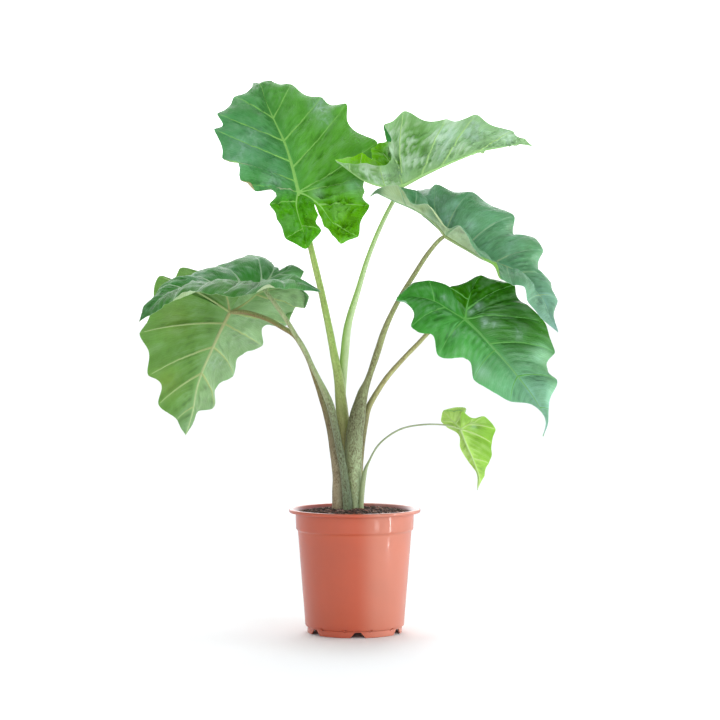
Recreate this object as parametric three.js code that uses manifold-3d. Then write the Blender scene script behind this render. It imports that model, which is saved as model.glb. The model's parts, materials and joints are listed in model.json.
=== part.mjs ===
// A potted elephant ear: seven waved, shield-shaped leaves on long stems, standing in the soil of
// an injection-moulded nursery pot. Millimetres, +Z up, the front faces -Y.
import * as THREE from "three";
import { mergeVertices } from "three/addons/utils/BufferGeometryUtils.js";
import Module from "manifold-3d";

const wasm = await Module();
wasm.setup();

// Driving sizes of the pot, with the pot's own axis at x = 0, y = 0.
const POT_HEIGHT = 197.5;
const POT_SEGMENTS = 48;
const WALL = 1.8;
const LIP = { radius: 105, innerRadius: 99, depth: 6, roundOff: 1 };
const BAND = { topRadius: 94.8, bottomRadius: 93.8, bottomZ: 165 };
const BODY = { topRadius: 91.1, topZ: 162.5, bottomRadius: 79, bottomZ: 10.7 };
const FOOT = { radius: 75.5, height: 10 };
const FLOOR_Z = 11;
const NOTCH = { count: 6, turn: 4, bottomWidth: 24, topWidth: 9, height: 8.6 };
const DRAIN = { aside: 15, width: 5, bottomZ: 9.2, topZ: 12.6, innerRadius: 73, outerRadius: 82 };

// Soil: a plug that fills the pot to just under the lip, a little higher round the stems. Its top
// has rings at these shares of its radius and crossing waves of these lengths.
const SOIL = { edgeZ: 190.5, middleZ: 197.5, gap: 0.3, segments: 36, bump: 0.8, flatRim: 2, fullBumpFrom: 14 };
const SOIL_RINGS = [0.8, 0.6, 0.4, 0.2, 0];
const SOIL_WAVES = { x: 7, y: 6, across: 4.3 };
const MOUND_POWER = 1.5;
const STEM_FOOT_Z = 182;

// Blades: how thick they are, how far the ribs and veins stand out underneath, how much the skin
// swells between veins and how far the veins sweep towards the tip, as shares of a column's length.
const BLADE_THICKNESS = 1;
const RIB = { start: 1.6, full: 3.2, end: 0.5, rise: 0.1 };
const VEIN_RIDGE = 0.7;
const QUILT = 0.03;
const FORWARD_BEND = 0.05;
const FULL_BOW_LENGTH = 60;
const MOST_DRAW_IN = 0.5;
const COLUMNS_PER_GAP = 2;
const COLUMN_ROWS = [0, 0.06, 0.5, 1];
const SAME_POINT = 0.05;
const CURVE_STEP = 0.003;

// Stems: the thicker a stem, the flatter its section, down to the least share of its width.
const STEM_SIDES = 10;
const STEM_FLATNESS = { start: 1.15, width: 75, least: 0.8 };
const STEM_END = { length: 5, narrowing: 0.35 };
const GAP = 0.35;

// The middle of the plant's spread, measured from the pot's axis.
const SPREAD_MIDDLE = { x: -18.9, y: 70.9 };

// The outlines are set out on the upright plane through the pot's axis, as they are seen from the
// front by an eye at this place, and each point is then pushed back (+) or forward (-) along its
// line of sight to its own depth.
const EYE = new THREE.Vector3(8.5, -3800, 540);

// Each leaf. Points are [x, z, depth]. A stem runs from the soil to the leaf's junction, and its
// points end with its width. The midrib runs from the junction to the tip. Each half has a costa,
// the rib of its back lobe, and a margin of [at, x, z, depth, notch]: at 0 to 1 the edge goes out
// along the inner side of the costa, at 1 to 2 back along its outer side, and at 2 to 3 along the
// midrib, and notch is how far the edge draws in before the next point. Left and right are as
// seen on the upper face with the tip ahead.
const LEAVES = [
  {
    name: "leaf_top_left",
    colour: 0x4f9a45,
    stemColour: 0xa9bd70,
    stem: [
      [-12, STEM_FOOT_Z, 15, 14], [-12, 205, 15, 15], [-14, 300, 17, 19], [-20, 352, 19, 20],
      [-26, 407, 22, 15], [-34, 450, 26, 12.6], [-50, 530, 37, 10.8], [-67, 602, 50, 10],
      [-82, 665, 62, 9], [-90, 702, 70, 8],
    ],
    midrib: [
      [-90, 702, 70], [-98, 737, 98], [-111, 779, 133], [-130, 820, 168], [-142, 847, 192],
      [-152, 873, 226], [-161, 864, 260], [-168, 838, 290],
    ],
    left: {
      bow: 6,
      costa: [[-90, 702, 70], [-93, 681, 56], [-88, 659, 44], [-81, 637, 33], [-79, 624, 27]],
      margin: [
        [0.25, -66, 690, 62, 3], [0.45, -58, 666, 44, 8], [0.7, -53, 642, 34, 5], [1, -78, 612, 22, 3],
        [1.25, -110, 629, 28, 3], [1.55, -124, 660, 42, 4], [1.8, -136, 684, 54, 8],
        [2, -131, 706, 68, 0], [2, -160, 705, 71, 0], [2, -169, 714, 76, 4], [2, -182, 722, 84, 0],
        [2.03, -185, 749, 94, 2], [2.07, -209, 756, 102, 12], [2.2, -224, 803, 134, 15],
        [2.34, -219, 828, 158, 4], [2.5, -192, 855, 190, 8], [2.7, -160, 877, 242, 4],
      ],
    },
    right: {
      bow: 6,
      costa: [[-90, 702, 70], [-72, 693, 64], [-55, 680, 57], [-41, 661, 48], [-24, 640, 37]],
      margin: [
        [0.3, -68, 688, 60, 1], [0.5, -57, 668, 52, 2], [0.7, -49, 648, 42, 3], [0.85, -36, 634, 35, 2],
        [1, -22, 620, 28, 4], [1.2, 5, 632, 36, 11], [1.6, 24, 682, 62, 7], [1.85, 16, 704, 76, 4],
        [2, 20, 728, 92, 6], [2, 36, 782, 120, 2], [2.07, -7, 809, 144, 5], [2.16, -13, 843, 166, 12],
        [2.34, -53, 854, 186, 9], [2.5, -101, 875, 208, 8], [2.7, -136, 881, 236, 3],
      ],
    },
  },
  {
    name: "leaf_top_right",
    colour: 0x9cc67e,
    stemColour: 0x9cc365,
    stem: [
      [-10, STEM_FOOT_Z, 31, 14], [-11, 205, 31, 14], [-19, 300, 33, 14], [-21, 377, 35, 14],
      [-16, 445, 37, 14], [-12, 483, 38, 12.5], [6.5, 550, 43, 9], [22, 600, 47, 7.8],
      [50, 666, 56, 7], [75, 712, 60, 6.4],
    ],
    midrib: [
      [75, 712, 60], [107, 729, 66], [139, 744, 72], [170, 757, 76], [200, 768, 80],
      [233, 774, 85], [265, 779, 89], [283, 776, 91],
    ],
    left: {
      bow: -4,
      costa: [[75, 712, 60], [66, 736, 80], [52, 756, 92], [40, 770, 98]],
      margin: [
        [0.35, 54, 744, 70, 2], [0.7, 30, 750, 72, 3], [1, 27, 772, 88, 3], [1.35, 38, 781, 100, 3],
        [1.7, 55, 786, 116, 5], [2, 80, 774, 138, 6], [2, 112, 770, 156, 8], [2.16, 144, 770, 166, 8],
        [2.32, 182, 776, 166, 8], [2.57, 232, 784, 146, 6], [2.82, 266, 784, 112, 3],
      ],
    },
    right: {
      bow: -5,
      costa: [[75, 712, 60], [53, 711, 50], [30, 715, 41], [13, 722, 34], [-2, 732, 28], [-24, 748, 22]],
      margin: [
        [0.2, 64, 737, 66, 2], [0.45, 36, 752, 58, 3], [0.7, 12, 765, 47, 4], [0.88, -10, 759, 36, 2],
        [1, -31, 754, 22, 2], [1.2, -8, 748, 14, 1], [1.45, 14, 748, 10, 2], [1.75, 40, 745, 14, 2],
        [2, 54, 751, 20, 3], [2, 52, 784, 14, 2], [2, 46, 809, 8, 9], [2, 77, 832, 14, 11],
        [2.16, 146, 819, 34, 9], [2.32, 192, 827, 46, 10], [2.57, 252, 800, 70, 5], [2.82, 272, 787, 82, 1],
      ],
    },
  },
  {
    name: "leaf_right",
    colour: 0x4f8f60,
    stemColour: 0x99a365,
    stem: [
      [0, STEM_FOOT_Z, 0, 26], [0, 205, 0, 27], [-2, 255, 0, 26], [-2, 290, 0, 28],
      [1, 325, -1, 27], [4, 342, -1, 26], [8, 362, -1, 21.5], [13, 382, -2, 16.5], [20, 400, -2, 11.5],
      [37, 450, -2, 11], [47, 481, -2, 9.5], [70, 530, -3, 8], [95, 571, -5, 7.6],
      [121, 610, -7, 7], [135, 626, -9, 6.6], [144, 633, -10, 6.4],
    ],
    midrib: [
      [144, 633, -10], [164, 621, -18], [183, 610, -27], [205, 597, -37], [224, 590, -47],
      [258, 576, -60], [280, 554, -70], [301, 529, -80], [312, 503, -86], [324.5, 479, -90],
    ],
    left: {
      bow: 8,
      costa: [[144, 633, -10], [133, 655, 22], [118, 676, 56], [101, 688, 88]],
      margin: [
        [0.4, 106, 667, 34, 3], [0.75, 86, 685, 74, 3], [1, 84, 698, 104, 3], [1.3, 98, 706, 110, 2],
        [1.6, 112, 707, 102, 3], [2, 129, 715, 84, 12], [2, 188, 704, 60, 13], [2.16, 255, 665, 36, 2],
        [2.24, 256, 634, 14, 1], [2.32, 286, 630, 2, 0], [2.38, 301, 610, -12, 2],
        [2.46, 293, 587, -24, 4], [2.55, 314, 560, -42, 5], [2.74, 324, 530, -66, 8],
      ],
    },
    right: {
      bow: 3,
      costa: [[144, 633, -10], [125, 655, -16], [100, 672, -18], [61, 689, -16], [33, 702, -12]],
      margin: [
        [0.25, 121, 677, 4, 2], [0.5, 97, 706, 22, 4], [0.75, 58, 708, 14, 2], [1, 19, 699, -6, 2],
        [1.2, 45, 710, -22, 1], [1.4, 70, 714, -28, 6], [1.6, 94, 684, -34, 1], [1.75, 114, 682, -40, 2],
        [2, 148, 645, -36, 1], [2, 168, 650, -64, 8], [2.16, 203, 600, -104, 1], [2.24, 224, 586, -120, 0],
        [2.32, 232, 563, -130, 1], [2.46, 252, 557, -128, 1], [2.6, 269, 554, -122, 0],
        [2.74, 277, 530, -114, 3], [2.88, 297, 502, -104, 1],
      ],
    },
  },
  {
    name: "leaf_lower_right",
    colour: 0x3f8a2c,
    stemColour: 0x9c9c66,
    stem: [
      [6, STEM_FOOT_Z, 17, 11], [6, 205, 17, 11], [14, 320, 16, 11], [22.5, 360, 14, 10],
      [34, 381, 9, 9], [57, 414, 2, 8], [74, 433, -3, 7.5], [100, 460, -12, 7], [122, 482, -20, 6.8],
      [146, 495, -30, 6.5], [176, 500, -45, 6.4],
    ],
    midrib: [
      [176, 500, -45], [200, 476, -60], [228, 446, -80], [262, 406, -105], [293, 363, -130],
      [307, 335, -142], [301, 313, -148],
    ],
    left: {
      bow: 5,
      costa: [[176, 500, -45], [180, 525, -37], [187, 547, -28]],
      margin: [
        [0.35, 164, 528, -40, 1], [0.65, 151, 551, -34, 1], [0.82, 170, 556, -28, 1], [1, 201, 570, -18, 3],
        [1.3, 228, 564, -18, 1], [1.7, 255, 555, -22, 1], [2, 261, 533, -27, 1], [2, 276, 523, -31, 1],
        [2, 304, 495, -40, 5], [2.24, 320, 449, -70, 3], [2.42, 308, 421, -90, 3],
        [2.54, 323, 404, -98, 5], [2.8, 310, 356, -134, 0], [2.92, 308, 330, -145, 0],
      ],
    },
    right: {
      bow: 5,
      costa: [[176, 500, -45], [155, 512, -43], [128, 528, -38], [98, 535, -33], [82, 533, -31]],
      margin: [
        [0.2, 161, 532, -40, 1], [0.35, 149, 552, -36, 1], [0.55, 118, 562, -30, 1], [0.8, 93, 558, -27, 3],
        [1, 66, 530, -28, 2], [1.2, 84, 524, -34, 0], [1.45, 94, 512, -44, 2], [1.65, 90, 488, -54, 0],
        [1.85, 104, 479, -60, 0], [2, 122, 477, -64, 1], [2, 134, 442, -78, -3], [2.14, 176, 438, -84, 6],
        [2.3, 190, 404, -100, 4], [2.54, 249, 369, -122, 1], [2.8, 287, 361, -132, 2],
        [2.92, 305, 336, -143, 0],
      ],
    },
  },
  {
    name: "leaf_lower_left",
    colour: 0x83aa63,
    stemColour: 0x9c8f6b,
    stem: [
      [-24, STEM_FOOT_Z, 6, 25], [-24, 205, 6, 25], [-25, 256, 7, 22], [-31, 293, 9, 19],
      [-39, 335, 13, 16], [-50, 369, 18, 12], [-62, 404, 26, 9.5], [-79, 448, 45, 9],
      [-97, 475, 60, 8.6], [-116, 487, 72, 8.2], [-137, 499, 86, 8], [-156, 506, 98, 8],
      [-175, 511, 108, 7.8], [-199, 511, 120, 7.5],
    ],
    midrib: [
      [-199, 511, 120], [-214, 482, 135], [-230, 447, 148], [-244, 415, 160], [-252, 390, 168],
      [-259, 351, 178], [-270, 315, 184],
    ],
    left: {
      bow: -5,
      costa: [[-199, 511, 120], [-204, 535, 118], [-214, 557, 115]],
      margin: [
        [0.35, -188, 538, 122, 2], [0.7, -194, 566, 118, 3], [1, -214, 581, 113, 2],
        [1.4, -246, 577, 114, 0], [1.65, -279, 581, 118, 1], [1.8, -288, 565, 120, 0],
        [2, -311, 569, 126, 0], [2, -319, 554, 128, 3], [2.05, -327, 505, 140, 2],
        [2.1, -343, 478, 146, 18], [2.3, -329, 410, 160, 1], [2.38, -311, 400, 166, 2],
        [2.52, -313, 364, 176, 0], [2.78, -284, 340, 182, -2],
      ],
    },
    right: {
      bow: -6,
      costa: [[-199, 511, 120], [-176, 524, 124], [-150, 543, 130], [-116, 548, 134]],
      margin: [
        [0.4, -172, 548, 122, 2], [0.75, -130, 562, 126, 2], [1, -95, 554, 130, 2],
        [1.25, -73, 538, 134, 1], [1.45, -80, 520, 140, 0], [1.6, -86, 529, 142, 1],
        [1.8, -99, 514, 148, 1], [2, -106, 495, 156, 2], [2, -146, 490, 184, 2],
        [2.1, -148, 458, 212, 5], [2.22, -189, 439, 224, 2], [2.3, -195, 411, 232, 4],
        [2.44, -222, 390, 230, 2], [2.52, -227, 359, 222, 0], [2.66, -249, 355, 212, 2],
        [2.78, -260, 332, 198, 0],
      ],
    },
  },
  {
    name: "leaf_left",
    colour: 0x3e7a4d,
    stemColour: 0x9cb577,
    stem: [
      [-11, STEM_FOOT_Z, -15, 16], [-11, 205, -15, 16], [-15, 239, -15, 13], [-18.5, 265, -15, 12],
      [-24, 293, -15, 12], [-32.5, 335, -15, 11.5], [-39, 362, -15, 12.5], [-47, 382, -15, 11],
      [-56, 401, -15, 8.6], [-69, 427, -15, 8], [-81, 453, -16, 7.6], [-93, 472, -16, 7.6],
      [-106, 494, -17, 7], [-131, 530, -18, 6.6], [-143, 546, -19, 6.2], [-149, 557, -20, 6],
    ],
    midrib: [[-149, 557, -20], [-200, 560, -30], [-250, 556, -39], [-300, 540, -50], [-344, 496, -60]],
    left: {
      bow: 3,
      costa: [[-149, 557, -20], [-125, 558, -34], [-95, 558, -48], [-70, 550, -60]],
      margin: [
        [0.3, -122, 563, -27, 1], [0.55, -96, 571, -32, 2], [0.8, -78, 560, -46, 1],
        [1, -54, 544, -66, 1], [1.35, -84, 548, -84, 3], [1.7, -112, 549, -104, 3],
        [2, -136, 552, -122, 6], [2, -176, 538, -134, 5], [2.16, -212, 540, -138, 6],
        [2.38, -254, 543, -130, 6], [2.6, -290, 530, -114, 5], [2.82, -320, 511, -90, 3],
      ],
    },
    right: {
      bow: 6,
      costa: [[-149, 557, -20], [-136, 564, 0], [-120, 572, 20], [-107, 579, 34]],
      margin: [
        [0.35, -116, 565, 8, 2], [0.65, -86, 566, 22, 1], [0.85, -81, 576, 34, 2], [1, -101, 587, 46, 4],
        [1.35, -119, 571, 56, 0], [1.7, -131, 588, 68, 6], [2, -165, 603, 80, 9],
        [2.16, -224, 583, 74, 7], [2.38, -280, 561, 40, 4], [2.6, -316, 545, 6, 0],
        [2.7, -320, 532, -8, 0], [2.82, -336, 521, -30, 1],
      ],
    },
  },
  {
    name: "leaf_small",
    colour: 0xa3c94f,
    stemColour: 0x9cab7c,
    stem: [
      [10.5, STEM_FOOT_Z, -12, 8], [10.5, 205, -12, 8], [12, 225, -11, 8], [15, 250, -9, 7.4],
      [18, 262, -6, 5.5], [23, 273, -3, 3.6], [38, 299, 2, 3], [55, 314, 5, 2.9], [78, 326, 8, 2.8],
      [104, 331, 11, 2.8], [130, 332, 14, 2.7], [154, 329, 18, 2.7], [169, 324, 22, 2.6],
    ],
    midrib: [[169, 324, 22], [178, 301, 29], [192, 268, 36], [199, 245, 39], [196, 227, 41]],
    left: {
      bow: -2,
      costa: [[169, 324, 22], [161, 333, 27], [152, 342, 30]],
      margin: [
        [0.3, 171, 344, 29, 0], [0.5, 175, 358, 32, 0], [0.7, 162, 359, 33, 1], [1, 141, 353, 33, 1],
        [1.35, 138, 337, 32, 1], [1.7, 148, 327, 31, 1], [2, 167, 314, 30, 1], [2.2, 168, 297, 34, 0],
        [2.5, 182, 272, 39, 0], [2.75, 195, 254, 41, 0],
      ],
    },
    right: {
      bow: -3,
      costa: [[169, 324, 22], [180, 331, 27], [192, 336, 31]],
      margin: [
        [0.35, 175, 345, 29, 1], [0.7, 189, 342, 31, 1], [1, 206, 345, 34, 2], [1.4, 225, 324, 37, 2],
        [2, 219, 302, 39, 1], [2.2, 219, 284, 41, 0], [2.5, 214, 270, 43, 2], [2.75, 207, 249, 43, 1],
      ],
    },
  },
];

function seen(x, z, depth) {
  const onPlane = new THREE.Vector3(x, 0, z);
  const reach = (depth - EYE.y) / -EYE.y;
  return onPlane.sub(EYE).multiplyScalar(reach).add(EYE);
}

// A smooth curve through rows of numbers, met at their knots: cubic pieces whose slope at a row is
// the mean of the slopes on its two sides, weighted by how near each side's neighbour is.
function smoothCurve(knots, rows) {
  const last = rows.length - 1;
  const gapSlope = (i) => rows[i].map((v, k) => (rows[i + 1][k] - v) / (knots[i + 1] - knots[i]));
  const slopes = rows.map((_, i) => {
    const before = gapSlope(Math.max(i - 1, 0));
    const after = gapSlope(Math.min(i, last - 1));
    const back = i > 0 ? knots[i] - knots[i - 1] : 1;
    const ahead = i < last ? knots[i + 1] - knots[i] : 1;
    return before.map((v, k) => (v * ahead + after[k] * back) / (ahead + back));
  });
  return (at) => {
    let i = 0;
    while (i < last - 1 && at > knots[i + 1]) i += 1;
    const span = knots[i + 1] - knots[i];
    const f = THREE.MathUtils.clamp((at - knots[i]) / span, 0, 1);
    const ease = f * f * (3 - 2 * f);
    const leave = f * (1 - f) * (1 - f) * span;
    const arrive = f * f * (f - 1) * span;
    return rows[i].map(
      (v, k) => v * (1 - ease) + rows[i + 1][k] * ease + slopes[i][k] * leave + slopes[i + 1][k] * arrive,
    );
  };
}

// Knots that grow with the distance between the first three numbers of neighbouring rows, 0 to 1.
function distanceKnots(rows) {
  const knots = [0];
  for (let i = 1; i < rows.length; i += 1) {
    const step = Math.hypot(...[0, 1, 2].map((k) => rows[i][k] - rows[i - 1][k]));
    knots.push(knots[i - 1] + step);
  }
  return knots.map((knot) => knot / knots.at(-1));
}

function spineCurve(points) {
  const rows = points.map(([x, z, depth]) => seen(x, z, depth).toArray());
  const curve = smoothCurve(distanceKnots(rows), rows);
  return (at) => new THREE.Vector3(...curve(at));
}

// Evenly divides every gap between the sorted values, so both sides of a rib share its points.
function divided(values) {
  const sorted = [...new Set(values)].sort((a, b) => a - b);
  const all = [];
  for (let i = 0; i + 1 < sorted.length; i += 1) {
    for (let k = 0; k < COLUMNS_PER_GAP; k += 1) {
      all.push(sorted[i] + ((sorted[i + 1] - sorted[i]) * k) / COLUMNS_PER_GAP);
    }
  }
  return [...all, sorted.at(-1)];
}

// The columns of one half blade, in order round it. Each runs from a point on the ribs out to the
// edge. Between two points of the margin the edge draws in by a half sine wave.
function halfColumns(leaf, half, side) {
  const midrib = spineCurve(leaf.midrib);
  const costa = spineCurve(half.costa);
  const junction = seen(...leaf.midrib[0]).toArray();
  const tip = seen(...leaf.midrib.at(-1)).toArray();
  const stations = half.margin.map(([, x, z, depth]) => seen(x, z, depth).toArray());
  const rows = [junction, ...stations, tip];
  const ats = [0, ...half.margin.map(([at]) => at), 3];
  const notches = [0, ...half.margin.map(([, , , , notch]) => notch)];
  const knots = distanceKnots(rows);
  const edge = smoothCurve(knots, rows);
  const onCosta = divided([0, 1, ...ats.filter((at) => at < 2).map((at) => (at > 1 ? 2 - at : at))]);
  const onMidrib = divided(midribStations(leaf));
  const shared = [
    ...onCosta,
    ...onCosta.slice(0, -1).reverse().map((at) => 2 - at),
    ...onMidrib.slice(1).map((at) => 2 + at),
  ];
  const columns = [];
  for (let i = 0; i + 1 < ats.length; i += 1) {
    const inGap = shared.filter((at) => at > ats[i] && at < ats[i + 1]);
    const width = ats[i + 1] - ats[i];
    const between = width === 0 ? [0.5] : inGap.map((at) => (at - ats[i]) / width);
    for (const f of [0, ...between]) {
      columns.push(column(ats[i] + width * f, knots[i] + (knots[i + 1] - knots[i]) * f, f, notches[i]));
    }
  }
  columns.push(column(3, 1, 0, 0));
  return columns;

  function column(at, knot, f, notch) {
    const root = at <= 1 ? costa(at) : at < 2 ? costa(2 - at) : midrib(at - 2);
    const ahead = new THREE.Vector3(...edge(Math.min(knot + CURVE_STEP, 1)));
    const behind = new THREE.Vector3(...edge(Math.max(knot - CURVE_STEP, 0)));
    const along = ahead.sub(behind).normalize();
    const out = new THREE.Vector3(...edge(knot)).sub(root);
    const length = out.length();
    const drawIn = Math.min(notch * Math.sin(Math.PI * f), length * MOST_DRAW_IN);
    if (length > 0) out.multiplyScalar(1 - drawIn / length);
    const up = along.clone().cross(out).normalize().multiplyScalar(side);
    const bow = half.bow * Math.min(length / FULL_BOW_LENGTH, 1);
    const swell = bow + QUILT * length * Math.sin(Math.PI * f);
    const vein = f === 0 && at > 0 && at < 3 ? VEIN_RIDGE : 0;
    return COLUMN_ROWS.map((t) => {
      const hump = 4 * t * (1 - t);
      const point = root.clone().addScaledVector(out, t).addScaledVector(up, swell * hump);
      point.addScaledVector(along, -FORWARD_BEND * length * hump);
      const ridge = t === 0 ? ribHeight(at) : vein * (1 - t);
      return { point, ridge };
    });
  }
}

function midribStations(leaf) {
  const ats = [...leaf.left.margin, ...leaf.right.margin].map(([at]) => at - 2);
  return [0, 1, ...ats.filter((at) => at > 0)];
}

// How far a rib stands out under the blade: it swells just past the junction, then tapers.
function ribHeight(at) {
  const along = at <= 1 ? at : at < 2 ? 2 - at : at - 2;
  if (along < RIB.rise) return RIB.start + (RIB.full - RIB.start) * (along / RIB.rise);
  return RIB.full + (RIB.end - RIB.full) * ((along - RIB.rise) / (1 - RIB.rise));
}

// Both halves as one sheet of shared points and triangles that face the upper side.
function bladeSheet(leaf) {
  const points = [];
  const ridges = [];
  const places = new Map();
  const triangles = [];
  const indexOf = ({ point, ridge }) => {
    const key = point.toArray().map((v) => Math.round(v / SAME_POINT)).join();
    if (!places.has(key)) {
      places.set(key, points.length);
      points.push(point);
      ridges.push(ridge);
    }
    return places.get(key);
  };
  const addTriangle = (a, b, c) => {
    if (a !== b && b !== c && a !== c) triangles.push([a, b, c]);
  };
  for (const [half, side] of [[leaf.left, 1], [leaf.right, -1]]) {
    const grid = halfColumns(leaf, half, side).map((cells) => cells.map(indexOf));
    for (let i = 0; i + 1 < grid.length; i += 1) {
      for (let j = 0; j + 1 < COLUMN_ROWS.length; j += 1) {
        const quad = [grid[i][j], grid[i + 1][j], grid[i + 1][j + 1], grid[i][j + 1]];
        if (side < 0) quad.reverse();
        addTriangle(quad[0], quad[1], quad[2]);
        addTriangle(quad[0], quad[2], quad[3]);
      }
    }
  }
  return { points, ridges, triangles };
}

// Gives the sheet its thickness: the upper face and the under face have the same triangles, and
// the ribs and veins stand out of the under face. A grown blade is thicker and wider all round.
function bladeGeometry(leaf, grow = 0) {
  const { points, ridges, triangles } = bladeSheet(leaf);
  const normals = points.map(() => new THREE.Vector3());
  const outwards = points.map(() => new THREE.Vector3());
  const edges = new Map();
  for (const triangle of triangles) {
    const [a, b, c] = triangle.map((i) => points[i]);
    const normal = b.clone().sub(a).cross(c.clone().sub(a)).normalize();
    triangle.forEach((i, k) => {
      const toNext = points[triangle[(k + 1) % 3]].clone().sub(points[i]);
      const toLast = points[triangle[(k + 2) % 3]].clone().sub(points[i]);
      normals[i].addScaledVector(normal, toNext.angleTo(toLast));
      edges.set(`${i},${triangle[(k + 1) % 3]}`, [i, triangle[(k + 1) % 3], normal]);
    });
  }
  normals.forEach((normal) => normal.normalize());
  const rim = [...edges.values()].filter(([a, b]) => !edges.has(`${b},${a}`));
  for (const [a, b, normal] of rim) {
    const outward = points[b].clone().sub(points[a]).cross(normal).normalize();
    outwards[a].add(outward);
    outwards[b].add(outward);
  }
  const upper = points.map((point, i) => point.clone()
    .addScaledVector(normals[i], BLADE_THICKNESS / 2 + grow)
    .addScaledVector(outwards[i].normalize(), grow));
  const under = points.map((point, i) => point.clone()
    .addScaledVector(normals[i], -BLADE_THICKNESS / 2 - grow - ridges[i])
    .addScaledVector(outwards[i], grow));
  const count = points.length;
  const index = [];
  for (const [a, b, c] of triangles) index.push(a, b, c, c + count, b + count, a + count);
  for (const [a, b] of rim) index.push(a, a + count, b + count, a, b + count, b);
  return indexedGeometry([...upper, ...under].flatMap((point) => point.toArray()), index);
}

// A stem: rings of an ellipse, wider than deep, along a smooth line. It closes to a blunt point in
// the rib at the junction. A grown stem is thicker.
function stemGeometry(leaf, grow = 0) {
  const rows = leaf.stem.map(([x, z, depth, width]) => [...seen(x, z, depth).toArray(), width]);
  const knots = distanceKnots(rows);
  const curve = smoothCurve(knots, rows);
  const positions = [];
  const index = [];
  const length = rows.slice(1).reduce(
    (sum, row, i) => sum + Math.hypot(row[0] - rows[i][0], row[1] - rows[i][1], row[2] - rows[i][2]), 0,
  );
  const places = [...knots.slice(0, -1), 1 - STEM_END.length / length, 1];
  const rings = places.length;
  places.forEach((knot, ring) => {
    const [x, y, z, fullWidth] = curve(knot);
    const width = knot === 1 ? fullWidth * STEM_END.narrowing : fullWidth;
    const ahead = new THREE.Vector3(...curve(Math.min(knot + CURVE_STEP, 1)));
    const behind = new THREE.Vector3(...curve(Math.max(knot - CURVE_STEP, 0)));
    const along = ahead.sub(behind).normalize();
    const aside = new THREE.Vector3(0, -1, 0).cross(along).normalize();
    const front = along.clone().cross(aside);
    const flatness = THREE.MathUtils.clamp(
      STEM_FLATNESS.start - width / STEM_FLATNESS.width, STEM_FLATNESS.least, 1,
    );
    for (let k = 0; k < STEM_SIDES; k += 1) {
      const turn = (2 * Math.PI * k) / STEM_SIDES;
      const point = new THREE.Vector3(x, y, z)
        .addScaledVector(aside, Math.cos(turn) * (width / 2 + grow))
        .addScaledVector(front, Math.sin(turn) * ((width * flatness) / 2 + grow));
      positions.push(...point.toArray());
      const next = (k + 1) % STEM_SIDES;
      const base = ring * STEM_SIDES;
      if (ring + 1 < rings) {
        index.push(base + k, base + next, base + STEM_SIDES + next);
        index.push(base + k, base + STEM_SIDES + next, base + STEM_SIDES + k);
      }
    }
  });
  const top = (rings - 1) * STEM_SIDES;
  for (let k = 1; k + 1 < STEM_SIDES; k += 1) index.push(0, k + 1, k, top, top + k, top + k + 1);
  return indexedGeometry(positions, index);
}

function indexedGeometry(positions, index) {
  const geometry = new THREE.BufferGeometry();
  geometry.setAttribute("position", new THREE.Float32BufferAttribute(positions, 3));
  geometry.setIndex(index);
  return geometry;
}

// The pot turned from one wall profile that starts and ends on the axis.
function potGeometry() {
  const top = POT_HEIGHT;
  const underLip = top - LIP.depth;
  const profile = [
    [0, FLOOR_Z], [FOOT.radius - WALL, FLOOR_Z], [FOOT.radius - WALL, 0], [FOOT.radius, 0],
    [FOOT.radius, FOOT.height], [BODY.bottomRadius, BODY.bottomZ], [BODY.topRadius, BODY.topZ],
    [BAND.bottomRadius, BAND.bottomZ], [BAND.topRadius, underLip], [LIP.radius - LIP.roundOff, underLip],
    [LIP.radius, underLip + LIP.roundOff], [LIP.radius, top - LIP.roundOff],
    [LIP.radius - LIP.roundOff, top], [LIP.innerRadius, top], [BAND.topRadius - WALL, underLip],
    [BAND.bottomRadius - WALL, BAND.bottomZ], [BODY.topRadius - WALL, BODY.topZ],
    [BODY.bottomRadius - WALL, FLOOR_Z + WALL], [0, FLOOR_Z + WALL],
  ];
  const points = profile.map(([radius, z]) => new THREE.Vector2(radius, z));
  const lathe = new THREE.LatheGeometry(points, POT_SEGMENTS);
  lathe.rotateX(Math.PI / 2);
  return lathe;
}

// A trapezoid that goes out through the foot, for the notch at the given turn from the front.
function notchGeometry(turn) {
  const shape = new THREE.Shape();
  const below = WALL;
  const slope = (NOTCH.bottomWidth - NOTCH.topWidth) / 2 / NOTCH.height;
  const half = NOTCH.bottomWidth / 2 + below * slope;
  shape.moveTo(-half, -below);
  shape.lineTo(half, -below);
  shape.lineTo(NOTCH.topWidth / 2, NOTCH.height);
  shape.lineTo(-NOTCH.topWidth / 2, NOTCH.height);
  const reach = FOOT.radius / 2;
  const prism = new THREE.ExtrudeGeometry(shape, { depth: reach, bevelEnabled: false });
  prism.rotateX(Math.PI / 2);
  prism.translate(0, -FOOT.radius + reach / 2, 0);
  return prism.rotateZ(turn);
}

function drainGeometry(turn) {
  const depth = DRAIN.outerRadius - DRAIN.innerRadius;
  const height = DRAIN.topZ - DRAIN.bottomZ;
  const box = new THREE.BoxGeometry(DRAIN.width, depth, height);
  box.translate(0, -(DRAIN.outerRadius + DRAIN.innerRadius) / 2, (DRAIN.topZ + DRAIN.bottomZ) / 2);
  return box.rotateZ(turn);
}

function potSolid() {
  let pot = solidOf(potGeometry());
  for (let i = 0; i < NOTCH.count; i += 1) {
    const turn = (2 * Math.PI * i) / NOTCH.count + THREE.MathUtils.degToRad(NOTCH.turn);
    pot = pot.subtract(solidOf(notchGeometry(turn)));
    for (const aside of [-DRAIN.aside, DRAIN.aside]) {
      pot = pot.subtract(solidOf(drainGeometry(turn + THREE.MathUtils.degToRad(aside))));
    }
  }
  return pot;
}

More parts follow.
